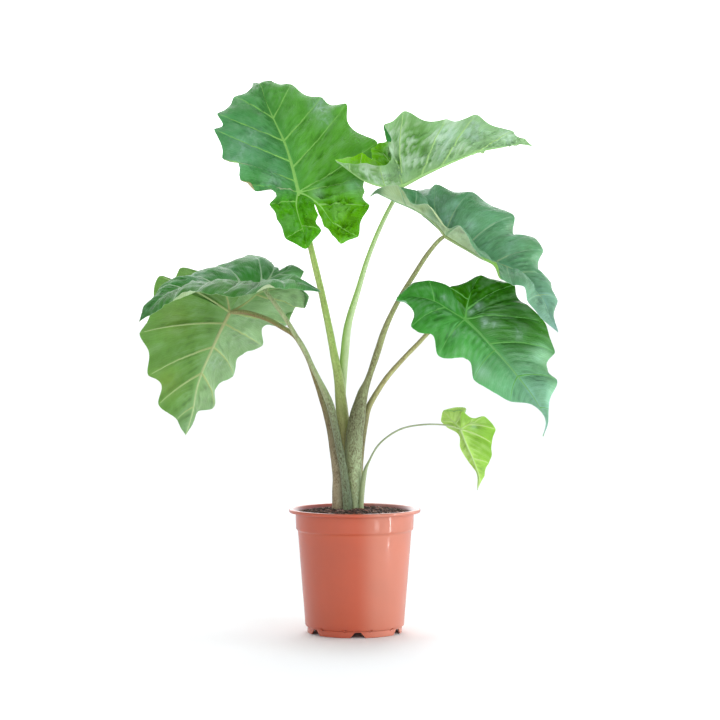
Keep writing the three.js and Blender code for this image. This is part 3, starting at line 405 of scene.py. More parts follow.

# The skin of each leaf. Places are [x, z] on the plane that the outlines are set out on.
# upper, under, lobes: the two faces and the back lobes' upper face, on the left and the right half. On
# the two top leaves the lobes' brighter yellow-green is painted glow of light shining through them.
# tip, tip_start: the tip's upper and under face, and the place along the margin where it starts.
# crest_highlight: the colour of a highlight painted on crests, and its strength on the upper and on the under
# face.
# patches: blotches of another colour, as [x, z, radius, strength, colour]. Some are the leaf's own colour;
# the dark ones in folds and near the junction are painted shade and the whitish ones painted highlights.
# shine: patches of painted reflection, pale streaks in the skin's colour, as [x, z, radius, strength].
# bulges: single bulges, or hollows if below 0, as [x, z, radius, height].
# pucker: the height of the skin's puckers in millimetres.
# crumple, gloss: the height of its crumples and the strength of its reflections, on the blade and on
# its back lobes.
# rolls: stretches of margin that turn over, as the half, the first and last margin point (which may
# lie between two), the roll's radius, the upper (1) or under (-1) face it lies on, and its colour.
# vein, rib: the veins, and the midrib at the junction and at the tip.
# stout: how much thicker the midrib's radius is at the junction, as a share of the stem's width there.
# foot, head: the stem's left and right side at its foot and at its head; their difference is painted
# light and shade across the stem.
# mottle: how strongly the stem is mottled.
SKINS = {
    "leaf_top_left": {
        "upper": ("#4b9253", "#56a030"), "under": ("#93b27a", "#93b27a"), "lobes": ("#479a05", "#529f03"),
        "tip": ("#4f9442", "#93b27a"), "tip_start": 2.1, "crest_highlight": ("#a9cfae", 0.10, 0.10), "pucker": 0.9,
        "vein": "#7fbd58", "rib": ("#8cc663", "#79b653"),
        "foot": ("#ae9c6e", "#b4a671"), "head": ("#a6be6c", "#93b45a"), "mottle": 0.6,
        "crumple": (0.7, 3.2),
        "bulges": ((-3, 708, 13, 9), (-30, 672, 12, 5), (-6, 655, 13, -5), (-105, 652, 12, 4.5),
                   (-70, 655, 10, -4.5), (-168, 700, 12, 4)),
        "rolls": (("left", 11, 12, 2.6, 1, "#a9b68a"), ("left", 8, 10, 2.6, 1, "#b3ab7e")),
        "stout": 0.45, "gloss": (0.35, 0.4),
        "patches": ((-18, 668, 16, 0.6, "#62ac06"), (-68, 655, 12, 0.5, "#5dac12"),
                    (-39, 722, 20, 0.35, "#33780f"), (-60, 700, 9, 0.5, "#9bcf8a"),
                    (-4, 712, 9, 0.4, "#7fc790"), (-98, 640, 9, 0.4, "#2f7a14"),
                    (-54, 706, 18, 0.5, "#3c8a08")),
        "shine": ((-178, 772, 24, 0.5), (-160, 795, 14, 0.35), (-192, 742, 16, 0.5), (-130, 722, 16, 0.5),
                  (-55, 838, 15, 0.8), (-45, 815, 10, 0.5), (10, 752, 10, 0.7), (4, 712, 9, 0.6),
                  (-58, 700, 8, 0.7)),
    },
    "leaf_top_right": {
        "upper": ("#5c9c1a", "#5c9c1a"), "under": ("#88b76f", "#86b576"), "lobes": ("#6ec204", "#78c804"),
        "tip": ("#559717", "#98c48a"), "tip_start": 2.4, "crest_highlight": ("#d4ead4", 0.12, 0.50), "pucker": 1.2,
        "vein": "#9fc781", "rib": ("#a3cf81", "#96c580"),
        "foot": ("#bab872", "#b0c686"), "head": ("#8db45c", "#b0ca94"), "mottle": 0.2,
        "crumple": (2.0, 2.4),
        "bulges": ((60, 740, 14, -5), (20, 742, 12, 4), (96, 752, 12, 4), (130, 790, 16, 4),
                   (190, 795, 16, -4)),
        "rolls": (("right", 9, 10, 7.5, -1, "#2c7a2e"), ("right", 2, 4, 3.0, -1, "#6fb321")),
        "stout": 0.5, "gloss": (1.2, 0.35),
        "patches": ((92, 780, 42, 0.9, "#478a10"), (0, 738, 14, 0.6, "#5a9a30"),
                    (34, 739, 9, 0.6, "#659034"), (15, 724, 10, 0.7, "#4a8a2a"),
                    (60, 769, 9, 0.6, "#c8e6c8"), (47, 730, 7, 0.5, "#c4e2c0")),
        "shine": ((147, 794, 16, 0.8), (189, 799, 18, 0.9), (240, 791, 16, 0.7), (136, 765, 16, 0.6),
                  (77, 735, 12, 0.4)),
    },
    "leaf_right": {
        "upper": ("#5c9a68", "#5c9a68"), "under": ("#a4bf92", "#a4bf92"), "lobes": ("#4a8a56", "#4a8a56"),
        "tip": ("#6c967f", "#a4bf92"), "tip_start": 2.35, "crest_highlight": ("#a3cdb8", 0.14, 0.14), "pucker": 1.1,
        "vein": "#84b48b", "rib": ("#909f66", "#92c08c"),
        "foot": ("#9caa78", "#b0c698"), "head": ("#84885a", "#939e66"), "mottle": 1.0,
        "crumple": (0.9, 0.4), "bulges": ((112, 690, 10, 5), (140, 690, 14, -5)),
        "rolls": (("right", 10, 12, 4.2, 1, "#7fb552"), ("right", 7, 8, 2.2, 1, "#b9cf9c")),
        "stout": 0.5, "gloss": (0.8, 0.25),
        "patches": ((34, 706, 13, 0.8, "#3d7a4a"), (72, 699, 9, 0.5, "#93ad70"),
                    (102, 677, 9, 0.5, "#8ca866"), (127, 668, 13, 0.6, "#2f6f45"),
                    (160, 684, 8, 0.5, "#8fc0a4"), (248, 586, 18, 0.4, "#3f8050"),
                    (184, 650, 9, 0.5, "#a0cbb4")),
        "shine": ((118, 700, 13, 0.7), (140, 686, 14, 0.6), (150, 660, 12, 0.6), (250, 612, 14, 0.4)),
    },
    "leaf_lower_right": {
        "upper": ("#347a16", "#479e40"), "under": ("#83a670", "#83a670"), "lobes": ("#2c7004", "#37832b"),
        "tip": ("#7caf90", "#83a670"), "tip_start": 2.05, "crest_highlight": ("#b4dcc0", 0.12, 0.12), "pucker": 0.6,
        "vein": "#62a553", "rib": ("#589e43", "#7fb67b"),
        "foot": ("#7c7a4c", "#8a8a58"), "head": ("#8b8857", "#abad74"), "mottle": 0.9,
        "crumple": (0.6, 1.6), "bulges": ((190, 525, 14, -5), (150, 520, 14, 4), (215, 500, 16, 4)),
        "rolls": (("right", 4, 5, 1.8, 1, "#7fae84"),),
        "stout": 0.45, "gloss": (1.0, 0.15),
        "patches": ((256, 522, 40, 0.85, "#1f5c08"), (298, 443, 15, 0.8, "#93cda0"),
                    (203, 416, 13, 0.45, "#a4d0b4")),
        "shine": ((184, 511, 6, 1.0), (200, 521, 7, 1.0), (207, 494, 7, 0.9), (224, 491, 6, 0.7),
                  (144, 534, 5, 0.9), (262, 478, 10, 0.5), (158, 478, 10, 0.4)),
    },
    "leaf_lower_left": {
        "upper": ("#46813c", "#468140"), "under": ("#5d8f38", "#85ae75"), "lobes": ("#468140", "#468140"),
        "tip": ("#528c47", "#769f68"), "tip_start": 2.6, "crest_highlight": ("#c0dcb4", 0.10, 0.10), "pucker": 0.7,
        "vein": "#a0bd7c", "rib": ("#9a9a66", "#a8c48e"),
        "foot": ("#a49879", "#9a9a7b"), "head": ("#8b7d4e", "#7f8a50"), "mottle": 0.8,
        "crumple": (0.9, 0.9), "bulges": ((-120, 525, 14, 5), (-95, 530, 9, -4), (-240, 545, 20, 5)),
        "rolls": (("right", 2, 4, 3.0, -1, "#4f7d45"), ("right", 6, 7, 4.2, -1, "#6c9a58")),
        "stout": 0.3, "gloss": (1.0, 1.0),
        "patches": ((-285, 500, 26, 0.5, "#72953a"), (-300, 400, 22, 0.5, "#7a9a3c")),
        "shine": ((-225, 430, 14, 0.4),),
    },
    "leaf_left": {
        "upper": ("#3c7828", "#2f7a26"), "under": ("#99b482", "#99b482"), "lobes": ("#30723b", "#3e7140"),
        "tip": ("#3b7036", "#99b482"), "tip_start": 2.5, "crest_highlight": ("#a6ccae", 0.15, 0.15), "pucker": 1.0,
        "vein": "#82a681", "rib": ("#84a36e", "#749d75"),
        "foot": ("#7a8c6a", "#546648"), "head": ("#9da67c", "#8c9f6e"), "mottle": 0.9,
        "crumple": (0.35, 0.8), "bulges": ((-150, 590, 14, 4), (-110, 556, 12, 3)),
        "rolls": (("left", 5.6, 6.6, 3.6, 1, "#a7bd8e"), ("left", 9, 10, 4.4, 1, "#a3c08c")),
        "stout": 0.4, "gloss": (0.15, 0.15),
        "patches": ((-100, 556, 26, 0.7, "#64a054"),),
        "shine": ((-250, 566, 16, 0.4), (-200, 578, 14, 0.3)),
    },
    "leaf_small": {
        "upper": ("#78ab24", "#7eaf29"), "under": ("#98bc5b", "#77ac2f"), "lobes": ("#80b23a", "#80b23a"),
        "tip": ("#80b23a", "#96c058"), "tip_start": 2.6, "crest_highlight": ("#cfe6a4", 0.20, 0.20), "pucker": 0.8,
        "vein": "#a6c378", "rib": ("#a0bd7a", "#a0bd7a"),
        "foot": ("#8b9c6c", "#9fb084"), "head": ("#86936c", "#92a27a"), "mottle": 0.3,
        "crumple": (0.5, 0.5), "bulges": ((190, 330, 8, 2),),
        "rolls": (("left", 0, 3, 3.2, 1, "#5f9f5c"),),
        "stout": 0.45, "gloss": (1.0, 1.0),
        "patches": (),
        "shine": ((190, 330, 6, 0.4),),
    },
}

# The finish of each kind of blade: how dull its upper and its under face are, and how strong the
# reflections of all are where gloss is 1.
BLADE_FINISHES = {
    "blade_glossy": (0.24, 0.42), "blade_pale": (0.30, 0.34), "blade_blue_green": (0.34, 0.46),
    "blade_deep_green": (0.20, 0.42), "blade_young": (0.36, 0.40),
}
BLADE_SPECULAR = 0.36

# Driving sizes of the pot, the same as the solid's, the heights between which its inner wall is
# painted darker as shade, and how finely its profile is drawn and turned.
POT = {"lip": 105, "lip_inner": 99, "lip_depth": 6, "band_top": 94.8, "band_bottom": 93.8, "band_z": 165,
       "body_top": 91.1, "body_top_z": 162.5, "body_bottom": 79, "body_bottom_z": 10.7,
       "foot": 75.5, "foot_height": 10, "floor": 11, "wall": 1.8, "height": 197.5}
NOTCH = {"count": 6, "turn": 4, "bottom": 24, "top": 9, "height": 8.6}
DIMPLE = {"aside": 15, "width": 5, "bottom_z": 9.0, "top_z": 12.8, "depth": 2.6, "skin": 0.4,
          "fade_across": (0.7, 1), "fade_up": (0.8, 1.1)}
INSIDE = {"full_z": 20, "under_lip": 2}
POT_SIDES = 540
POT_STEP = 16
POT_FOOT_STEP = 1.1
FILLET_POINTS = 6
MOST_FILLET = 0.45

# The soil: its mound, the profile of its lower side, its lumps as [length, height, seed], and the
# loose bits on it, whose sizes in millimetres are drawn between two numbers. A bit's rings have their
# place along it and their width, both as shares. It leans by about its pitch in radians, and it is
# raised by a share of its own thickness.
SOIL = {"edge_z": 190.5, "middle_z": 197.5, "power": 1.5, "radius": 92.2, "calm_edge": 10,
        "sides": 260, "rings": 70, "step": 12}
SOIL_LOWER = [[0, 13.1], [76, 13.1], [88.8, 162], [91.5, 166], [SOIL["radius"], SOIL["edge_z"]]]
LUMPS = ((30, 0.9, 5), (9, 0.9, 6), (4, 0.5, 7))
BITS = (
    {"count": 2600, "seed": 11, "long": (2.5, 8.5), "wide": (1.4, 4.0), "thick": (0.8, 2.0), "bend": 0.03},
    {"count": 700, "seed": 12, "long": (6, 15), "wide": (0.5, 1.0), "thick": (0.4, 0.8), "bend": 0.10},
)
BIT_SIDES = 5
BIT_RINGS = np.array([[-0.36, 0.75], [0.0, 1.0], [0.36, 0.7]])
BIT_PITCH = 0.22
BIT_UNEVEN = (0.8, 1.2)
BIT_RAISED = (-0.1, 0.45)
BIT_SHADES = (0.75, 1.25)
CHIP_COLOURS = ("#382d29", "#4a3c36", "#5f4d46", "#765f58", "#957b70", "#ad9186", "#84564a", "#a26c5e")
CHIP_SHARES = (0.2, 0.22, 0.2, 0.14, 0.08, 0.05, 0.07, 0.04)

# Stems: how finely they are divided, how flat a wide one is, how they thin into the rib, the share of
# the way up where the sheath ends and over which it fades, and how far the rib's colour reaches down.
STEM_RINGS = 170
STEM_SIDES = 40
STEM_FLATNESS = {"start": 1.15, "width": 75, "least": 0.8}
STEM_TAPER = {"length": 6.0, "least": 0.3, "power": 0.5}
STEM_WAVES = {"length": 26, "share": 0.012}
# Span of the cosine round the stem over which the right side's colour gives way to the left's: painted light
# and shade.
STEM_LEFT = (-0.6, 0.7)
STEM_RISE = (0.0, 0.55)
STEM_TO_RIB = (2, 34)
SHEATH = {"top": 0.33, "reach": 0.18, "darker": 0.5, "mottle": 0.3}
HEAD_MOTTLE_LOSS = 0.35

# Softboxes: name, place and target in metres from the pot's foot, size, watts and colour.
SOFTBOXES = (
    ("key_box", (-0.95, -1.7, 1.05), (0, 0, 0.5), (0.8, 0.8), 6.0, (0.98, 0.99, 1.0)),
    ("narrow_strip", (0.64, -0.24, 0.20), (0, 0, 0.2), (0.03, 0.40), 1.0, (1, 1, 1)),
    ("wide_strip", (0.60, -0.67, 0.18), (0, 0, 0.2), (0.14, 0.36), 0.9, (1, 1, 1)),
)
# The surroundings: how they dim overhead, and bright windows in them, each with the direction of its
# middle and the angles from it, in degrees, at which it starts and is full.
OVERHEAD = {"from_to": (0.25, 0.6), "colour": (0.12, 0.13, 0.14)}
WINDOWS = (
    {"direction": (0.96, 0.20, 0.0), "from_to": (34, 16), "colour": (3.6, 3.5, 3.4)},
    {"direction": (-0.1, 1.0, 0.72), "from_to": (38, 14), "colour": (2.65, 2.7, 2.75)},
    {"direction": (-0.25, 0.10, 0.95), "from_to": (14, 8), "colour": (4.0, 4.2, 4.4)},
    {"direction": (0.30, -1.0, 0.05), "from_to": (50, 20), "colour": (0.8, 0.8, 0.8)},
)
FLOOR_COLOUR = (0.925, 0.925, 0.93)
FLOOR_DROP = 0.0005
FLOOR_SIDES = 64
SENSOR_WIDTH = 36
CLIP_END = 200


# Plain geometry

def hex_colour(text):
    """A web colour as linear red, green and blue."""
    values = np.array([int(text[i:i + 2], 16) for i in (1, 3, 5)]) / 255
    return np.where(values <= 0.04045, values / 12.92, ((values + 0.055) / 1.055) ** 2.4)


def unit(vectors):
    """Each vector divided by its length, and left at nothing where it has none."""
    length = np.linalg.norm(vectors, axis=-1, keepdims=True)
    return vectors / np.where(length > 0, length, 1)


def smoothstep(low, high, values):
    """0 below low, 1 above high and 3f2 - 2f3 between them."""
    f = np.clip((values - low) / (high - low), 0, 1)
    return f * f * (3 - 2 * f)


def blended(first, second, share):
    """first (1 - share) + second share."""
    return first * (1 - share) + second * share


def circle(sides):
    """Evenly spaced angles round a full turn."""
    return np.arange(sides) * 2 * math.pi / sides


def from_axis(points):
    """How far points stand from the upright axis: the root of x2 + y2."""
    return np.hypot(points[..., 0], points[..., 1])


def seen(points):
    """Points [x, z, depth] in space: eye + (plane point - eye) * (depth + eye distance) / eye distance."""
    points = np.asarray(points, float)
    on_plane = np.column_stack([points[:, 0], np.zeros(len(points)), points[:, 1]])
    return EYE + (on_plane - EYE) * ((points[:, 2] - EYE[1]) / -EYE[1])[:, None]


def travelled(path):
    """The distance along a path from its start to each of its points."""
    return np.concatenate([[0], np.cumsum(np.linalg.norm(np.diff(path, axis=0), axis=1))])


def distance_knots(rows):
    """Knots from 0 to 1 that grow with the distance between neighbouring rows."""
    knots = travelled(np.asarray(rows, float)[:, :3])
    return knots / knots[-1]


def smooth_curve(knots, rows):
    """Cubic pieces met at rows, whose slope there is the mean of the slopes on the two sides, weighted
    by how near each side's neighbour is. Returns a function from places on it to points."""
    rows = np.asarray(rows, float)
    spans = np.diff(knots)
    between = np.diff(rows, axis=0) / spans[:, None]
    before = np.vstack([between[:1], between])
    after = np.vstack([between, between[-1:]])
    back = np.concatenate([[1.0], spans])[:, None]
    ahead = np.concatenate([spans, [1.0]])[:, None]
    slopes = (before * ahead + after * back) / (ahead + back)

    def curve(places):
        places = np.atleast_1d(np.asarray(places, float))
        i = np.clip(np.searchsorted(knots, places) - 1, 0, len(spans) - 1)
        span = spans[i][:, None]
        f = np.clip((places - knots[i])[:, None] / span, 0, 1)
        bends = slopes[i] * f * (1 - f) ** 2 + slopes[i + 1] * f * f * (f - 1)
        return blended(rows[i], rows[i + 1], smoothstep(0, 1, f)) + bends * span

    return curve


def spine(points):
    """The smooth curve through points [x, z, depth], with places from 0 to 1 along it."""
    rows = seen(points)
    return smooth_curve(distance_knots(rows), rows)


def ripples(points, wavelength, seed):
    """A smooth uneven field between about -1 and 1: the mean of sine waves in random directions."""
    draw = np.random.default_rng(seed)
    directions = unit(draw.normal(size=(RIPPLE_WAVES, 3)))
    lengths = wavelength * draw.uniform(*RIPPLE_LENGTHS, RIPPLE_WAVES)
    phases = draw.uniform(0, 2 * math.pi, RIPPLE_WAVES)
    angles = points @ (directions * (2 * math.pi / lengths)[:, None]).T + phases
    return np.sin(angles).mean(axis=-1) * 2


def grid_faces(ids):
    """Two triangles for each cell of a grid of point numbers. They face the side that columns, then
    rows, turn anticlockwise round."""
    a, b, c, d = ids[:-1, :-1], ids[1:, :-1], ids[1:, 1:], ids[:-1, 1:]
    faces = np.concatenate([np.stack([a, b, c], -1).reshape(-1, 3), np.stack([a, c, d], -1).reshape(-1, 3)])
    same = (faces[:, 0] == faces[:, 1]) | (faces[:, 1] == faces[:, 2]) | (faces[:, 0] == faces[:, 2])
    return faces[~same]


def capped(ids):
    """Faces of a grid whose last column joins its first, and of a fan over its first and its last row
    to one point each, numbered after the grid's own."""
    after = np.roll(ids, -1, axis=0)
    start = np.stack([np.full(len(ids), ids.size), after[:, 0], ids[:, 0]], -1)
    end = np.stack([np.full(len(ids), ids.size + 1), ids[:, -1], after[:, -1]], -1)
    return np.concatenate([grid_faces(np.vstack([ids, ids[:1]])), start, end])


def closed_tube(rings, path, tint, **values):
    """A part from rings of points round a path, with a colour and values at each point. It closes in
    the path's own ends, which take what the first and the last point have."""
    def ended(numbers):
        return np.concatenate([numbers, numbers[:1], numbers[-1:]])

    return {
        "points": np.vstack([rings.reshape(-1, 3), path[:1], path[-1:]]),
        "faces": capped(np.arange(rings.size // 3).reshape(rings.shape[:2]).T),
        "tint": ended(np.broadcast_to(tint, rings.shape).reshape(-1, 3)),
        "values": {name: ended(numbers) for name, numbers in values.items()},
    }


def tube(path, up, radius, tint, shape):
    """A round bar along a path: path + side * cos(a) * radius + up * sin(a) * radius, where the half
    above the path is only the shape's top times as high."""
    along = unit(np.gradient(path, axis=0))
    side = unit(np.cross(along, up))
    above = unit(np.cross(side, along))
    turn = circle(shape["sides"])
    height = np.sin(turn) * np.where(np.sin(turn) > 0, shape["top"], 1.0)
    ring = side[:, None] * np.cos(turn)[:, None] + above[:, None] * height[:, None]
    return closed_tube(path[:, None] + ring * radius[:, None, None], path, tint[:, None])


# Meshes and materials

def make_piece(name, parts, materials, replaced=(), sharp=50.0):
    """One object of several closed parts, each with points in millimetres from the pot's axis, faces,
    a tint and further values at its points, and the number of its material."""
    offsets = np.cumsum([0, *[len(part["points"]) for part in parts]])
    points = np.vstack([part["points"] for part in parts])
    faces = np.vstack([part["faces"] + offset for part, offset in zip(parts, offsets)]).astype(np.int32)
    slots = np.concatenate([np.full(len(part["faces"]), part.get("material", 0)) for part in parts])
    mesh = bpy.data.meshes.new(name)
    mesh.vertices.add(len(points))
    mesh.vertices.foreach_set("co", ((points + POT_AXIS) * MM).astype(np.float32).ravel())
    mesh.loops.add(faces.size)
    mesh.loops.foreach_set("vertex_index", faces.ravel())
    mesh.polygons.add(len(faces))
    mesh.polygons.foreach_set("loop_start", np.arange(0, faces.size, 3, dtype=np.int32))
    mesh.polygons.foreach_set("material_index", slots.astype(np.int32))
    mesh.update(calc_edges=True)
    mesh.validate()
    if parts[0].get("tint") is not None:
        colours = np.vstack([part["tint"] for part in parts])
        colours = np.column_stack([colours, np.ones(len(colours))])
        layer = mesh.attributes.new("tint", "FLOAT_COLOR", "POINT")
        layer.data.foreach_set("color", colours.astype(np.float32).ravel())
    for value in sorted({key for part in parts for key in part.get("values", {})}):
        numbers = [part.get("values", {}).get(value, np.zeros(len(part["points"]))) for part in parts]
        layer = mesh.attributes.new(value, "FLOAT", "POINT")
        layer.data.foreach_set("value", np.concatenate(numbers).astype(np.float32))
    for material in materials:
        mesh.materials.append(material)
    mesh.shade_smooth()
    mesh.set_sharp_from_angle(angle=math.radians(sharp))
    piece = bpy.data.objects.new(name, mesh)
    bpy.context.scene.collection.objects.link(piece)
    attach(piece, "root")
    if replaced:
        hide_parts(*replaced)


class Nodes:
    """Short ways to add to the nodes of a material or a world. What is given to a node is a socket,
    which is linked, or a plain value, which is set. What comes back is the new node's output."""

    def __init__(self, owner):
        owner.use_nodes = True
        self.owner = owner
        self.tree = owner.node_tree

    def fill(self, made, inputs):
        """Links or sets a node's inputs. A colour of three numbers is given its alpha."""
        for name, value in inputs.items():
            socket = made.inputs[name]
            if isinstance(value, bpy.types.NodeSocket):
                self.tree.links.new(value, socket)
            else:
                socket.default_value = (*value, 1.0) if socket.type == "RGBA" else value

    def add(self, kind, output, inputs, **properties):
        """A new node with its properties and inputs."""
        made = self.tree.nodes.new("ShaderNode" + kind)
        for name, value in properties.items():
            setattr(made, name, value)
        self.fill(made, inputs)
        return made.outputs[output]

    def surface(self, **inputs):
        """Fills the material's Principled shader and returns the material."""
        named = {name.replace("_", " "): value for name, value in inputs.items()}
        self.fill(self.tree.nodes["Principled BSDF"], named)
        return self.owner

    def attribute(self, name, output="Fac"):
        """A value that the mesh keeps at its points."""
        return self.add("Attribute", output, {}, attribute_name=name)

    def place(self, scale=(1, 1, 1)):
        """Object coordinates in millimetres, stretched by scale."""
        coordinates = self.add("TexCoord", "Object", {})
        per_mm = [value / MM for value in scale]
        return self.add("Mapping", "Vector", {"Vector": coordinates, "Scale": per_mm})

    def axis(self, vector, name):
        """One coordinate of a vector."""
        return self.add("SeparateXYZ", name, {"Vector": vector})

    def noise(self, place, size, detail, roughness=0.55, distortion=0.0, span=None):
        """Noise from 0 to 1 whose lumps are about size across, with a span of it drawn out to all of
        that if one is given."""
        made = self.add("TexNoise", "Fac", {"Vector": place, "Scale": 1 / size, "Detail": detail,
                                            "Roughness": roughness, "Distortion": distortion})
        return self.between(made, *span) if span else made

    def between(self, value, low, high, to_low=0.0, to_high=1.0):
        """value from low to high carried smoothly over to to_low to to_high."""
        limits = {"Value": value, "From Min": low, "From Max": high, "To Min": to_low, "To Max": to_high}
        return self.add("MapRange", "Result", limits, interpolation_type="SMOOTHSTEP")

    def maths(self, operation, first, second=0.0):
        """One number made of one or two others."""
        return self.add("Math", "Value", {0: first, 1: second}, operation=operation)

    plus = partialmethod(maths, "ADD")
    minus = partialmethod(maths, "SUBTRACT")
    times = partialmethod(maths, "MULTIPLY")
    larger = partialmethod(maths, "MAXIMUM")
    sine = partialmethod(maths, "SINE")

    def mix(self, factor, first, second, blend="MIX"):
        """One colour over another. The node's colour sockets are its seventh and eighth."""
        sockets = {0: factor, 6: first, 7: second}
        return self.add("Mix", 2, sockets, data_type="RGBA", blend_type=blend)

    def shaded(self, colour, share, dark_and_light, strength=1.0):
        """A colour times dark where share is 0 and times light where it is 1."""
        return self.mix(strength, colour, self.mix(share, *dark_and_light), "MULTIPLY")

    def ridge(self, value, lines):
        """Narrow lines evenly spaced in value: the top of a sine wave above the lines' start."""
        wave = self.sine(self.times(value, 2 * math.pi / lines["spacing"]))
        return self.between(wave, lines["start"], 1.0)

    def bump(self, height, distance, strength):
        """Bump whose height of 1 stands for distance in metres."""
        return self.add("Bump", "Normal", {"Height": height, "Distance": distance, "Strength": strength})


def new_nodes(name):
    """The nodes of a new material."""
    return Nodes(bpy.data.materials.new(name))


# Blades

def half_grid(leaf, side, steps):
    """Half a blade as a grid of columns from a rib to the margin. A column's points are
    root + out t + up s 4t(1 - t) - along b 4t(1 - t), where out runs to the margin, which draws in by
    a half sine wave between two margin points, up is square to the blade, along follows the margin, s
    is the bow and the swell between veins and b is the sweep of the veins."""
    half = leaf["left" if side > 0 else "right"]
    midrib, costa = spine(leaf["midrib"]), spine(half["costa"])
    stations = np.array(half["margin"], float)
    rows = np.vstack([seen(leaf["midrib"][:1]), seen(stations[:, 1:4]), seen(leaf["midrib"][-1:])])
    ats = np.concatenate([[0], stations[:, 0], [TIP]])
    notches = np.concatenate([[0], stations[:, 4]])
    knots = distance_knots(rows)
    edge = smooth_curve(knots, rows)
    shares = []
    for low, high in zip(ats, ats[1:]):
        inside = steps[(steps > low + TINY) & (steps < high - TINY)]
        fan = high <= low
        shares.append(np.arange(FAN) / FAN if fan else np.concatenate([[0], (inside - low) / (high - low)]))
    counts = [len(share) for share in shares]
    starts = np.cumsum([0, *counts])
    gap = np.concatenate([np.repeat(np.arange(len(shares)), counts), [len(shares) - 1]])
    f = np.concatenate([*shares, [1.0]])
    at = np.round(ats[gap] + (ats[gap + 1] - ats[gap]) * f, DIGITS)
    knot = knots[gap] + (knots[gap + 1] - knots[gap]) * f
    on_costa = costa(np.where(at <= LOBE_END, at, np.round(MIDRIB_START - at, DIGITS)))
    on_midrib = midrib(np.round(at - MIDRIB_START, DIGITS))
    root = np.where((at < MIDRIB_START)[:, None], on_costa, on_midrib)
    along = unit(edge(np.minimum(knot + CURVE_STEP, 1)) - edge(np.maximum(knot - CURVE_STEP, 0)))
    out = edge(knot) - root
    length = np.linalg.norm(out, axis=1)
    notch = notches[gap] * np.abs(np.sin(math.pi * f)) ** TOOTH_ROUNDING
    draw_in = np.minimum(notch, length * MOST_DRAW_IN)
    out = out * (1 - draw_in / np.where(length > 0, length, 1))[:, None]
    heading = unit(out)
    sweep = smoothed(along - heading * np.sum(along * heading, axis=1)[:, None])
    up = unit(smoothed(np.cross(along, heading) * side))
    swell = half["bow"] * np.minimum(length / FULL_BOW_LENGTH, 1) + QUILT * length * np.sin(math.pi * f)
    t = np.linspace(0, 1, ROWS) ** ROW_POWER
    hump = (4 * t * (1 - t))[None, :, None]
    grid = root[:, None] + out[:, None] * t[None, :, None] + up[:, None] * hump * swell[:, None, None]
    grid = grid - sweep[:, None] * hump * (FORWARD_BEND * length)[:, None, None]
    lobe_point = int(np.flatnonzero(ats == LOBE_END)[0])
    veins = np.unique([lobe_point, *[k + 1 for k in half["veins"]]])
    return {"grid": grid, "up": up, "at": at, "length": length, "t": t[None], "veins": starts[veins],
            "lobe_column": int(starts[lobe_point]), "stations": starts, "side": side,
            "along": t[None] * length[:, None], "edge": (1 - t)[None] * length[:, None]}


def smoothed(vectors):
    """The mean over neighbouring columns under a bell of weights, so that a blade doesn't crease where
    its margin turns sharply."""
    reach = np.arange(-2 * SMOOTH_COLUMNS, 2 * SMOOTH_COLUMNS + 1)
    bell = np.exp(-0.5 * (reach / SMOOTH_COLUMNS) ** 2)
    bell = bell / bell.sum()
    padded = np.pad(vectors, ((len(reach) // 2,) * 2, (0, 0)), mode="edge")
    return np.stack([np.convolve(padded[:, axis], bell, mode="valid") for axis in range(3)], -1)


def vein_distances(half):
    """How far each point lies from the veins before and after it: |(point - vein) x the vein's
    direction|, and FAR where there is no vein on that side."""
    grid, veins = half["grid"], half["veins"]
    columns = np.arange(len(grid))
    bounds = np.concatenate([[0], veins, [len(grid) - 1]])
    place = np.clip(np.searchsorted(bounds, columns, side="right") - 1, 0, len(bounds) - 2)
    direction = unit(np.gradient(grid, axis=1))
    distances = []
    for index in (place, place + 1):
        vein = bounds[index]
        distance = np.linalg.norm(np.cross(grid - grid[vein], direction[vein]), axis=-1)
        real = (index > 0) & (index < len(bounds) - 1)
        distances.append(np.where(real[:, None], distance, FAR))
    return distances


def bulged(grid, bulges):
    """The sum of round bulges h exp(-d2 / r2), where d is the distance on the outlines' plane."""
    flat = EYE + (grid - EYE) / (1 - grid[..., 1:2] / EYE[1])
    away = [((flat[..., 0] - x) ** 2 + (flat[..., 2] - z) ** 2) / radius ** 2 for x, z, radius, _ in bulges]
    return sum(row[3] * np.exp(-square) for row, square in zip(bulges, away))


def of_lobe(half, pair):
    """The first number on the blade, the second on its back lobe, and both mixed near the junction."""
    return pair[1] + (pair[0] - pair[1]) * smoothstep(*LOBE_MIX, half["at"])[:, None]


def to_tip(half, skin):
    """0 as far as the place where the tip's colour starts, and 1 at the tip."""
    return smoothstep(skin["tip_start"], TIP, half["at"])[:, None]


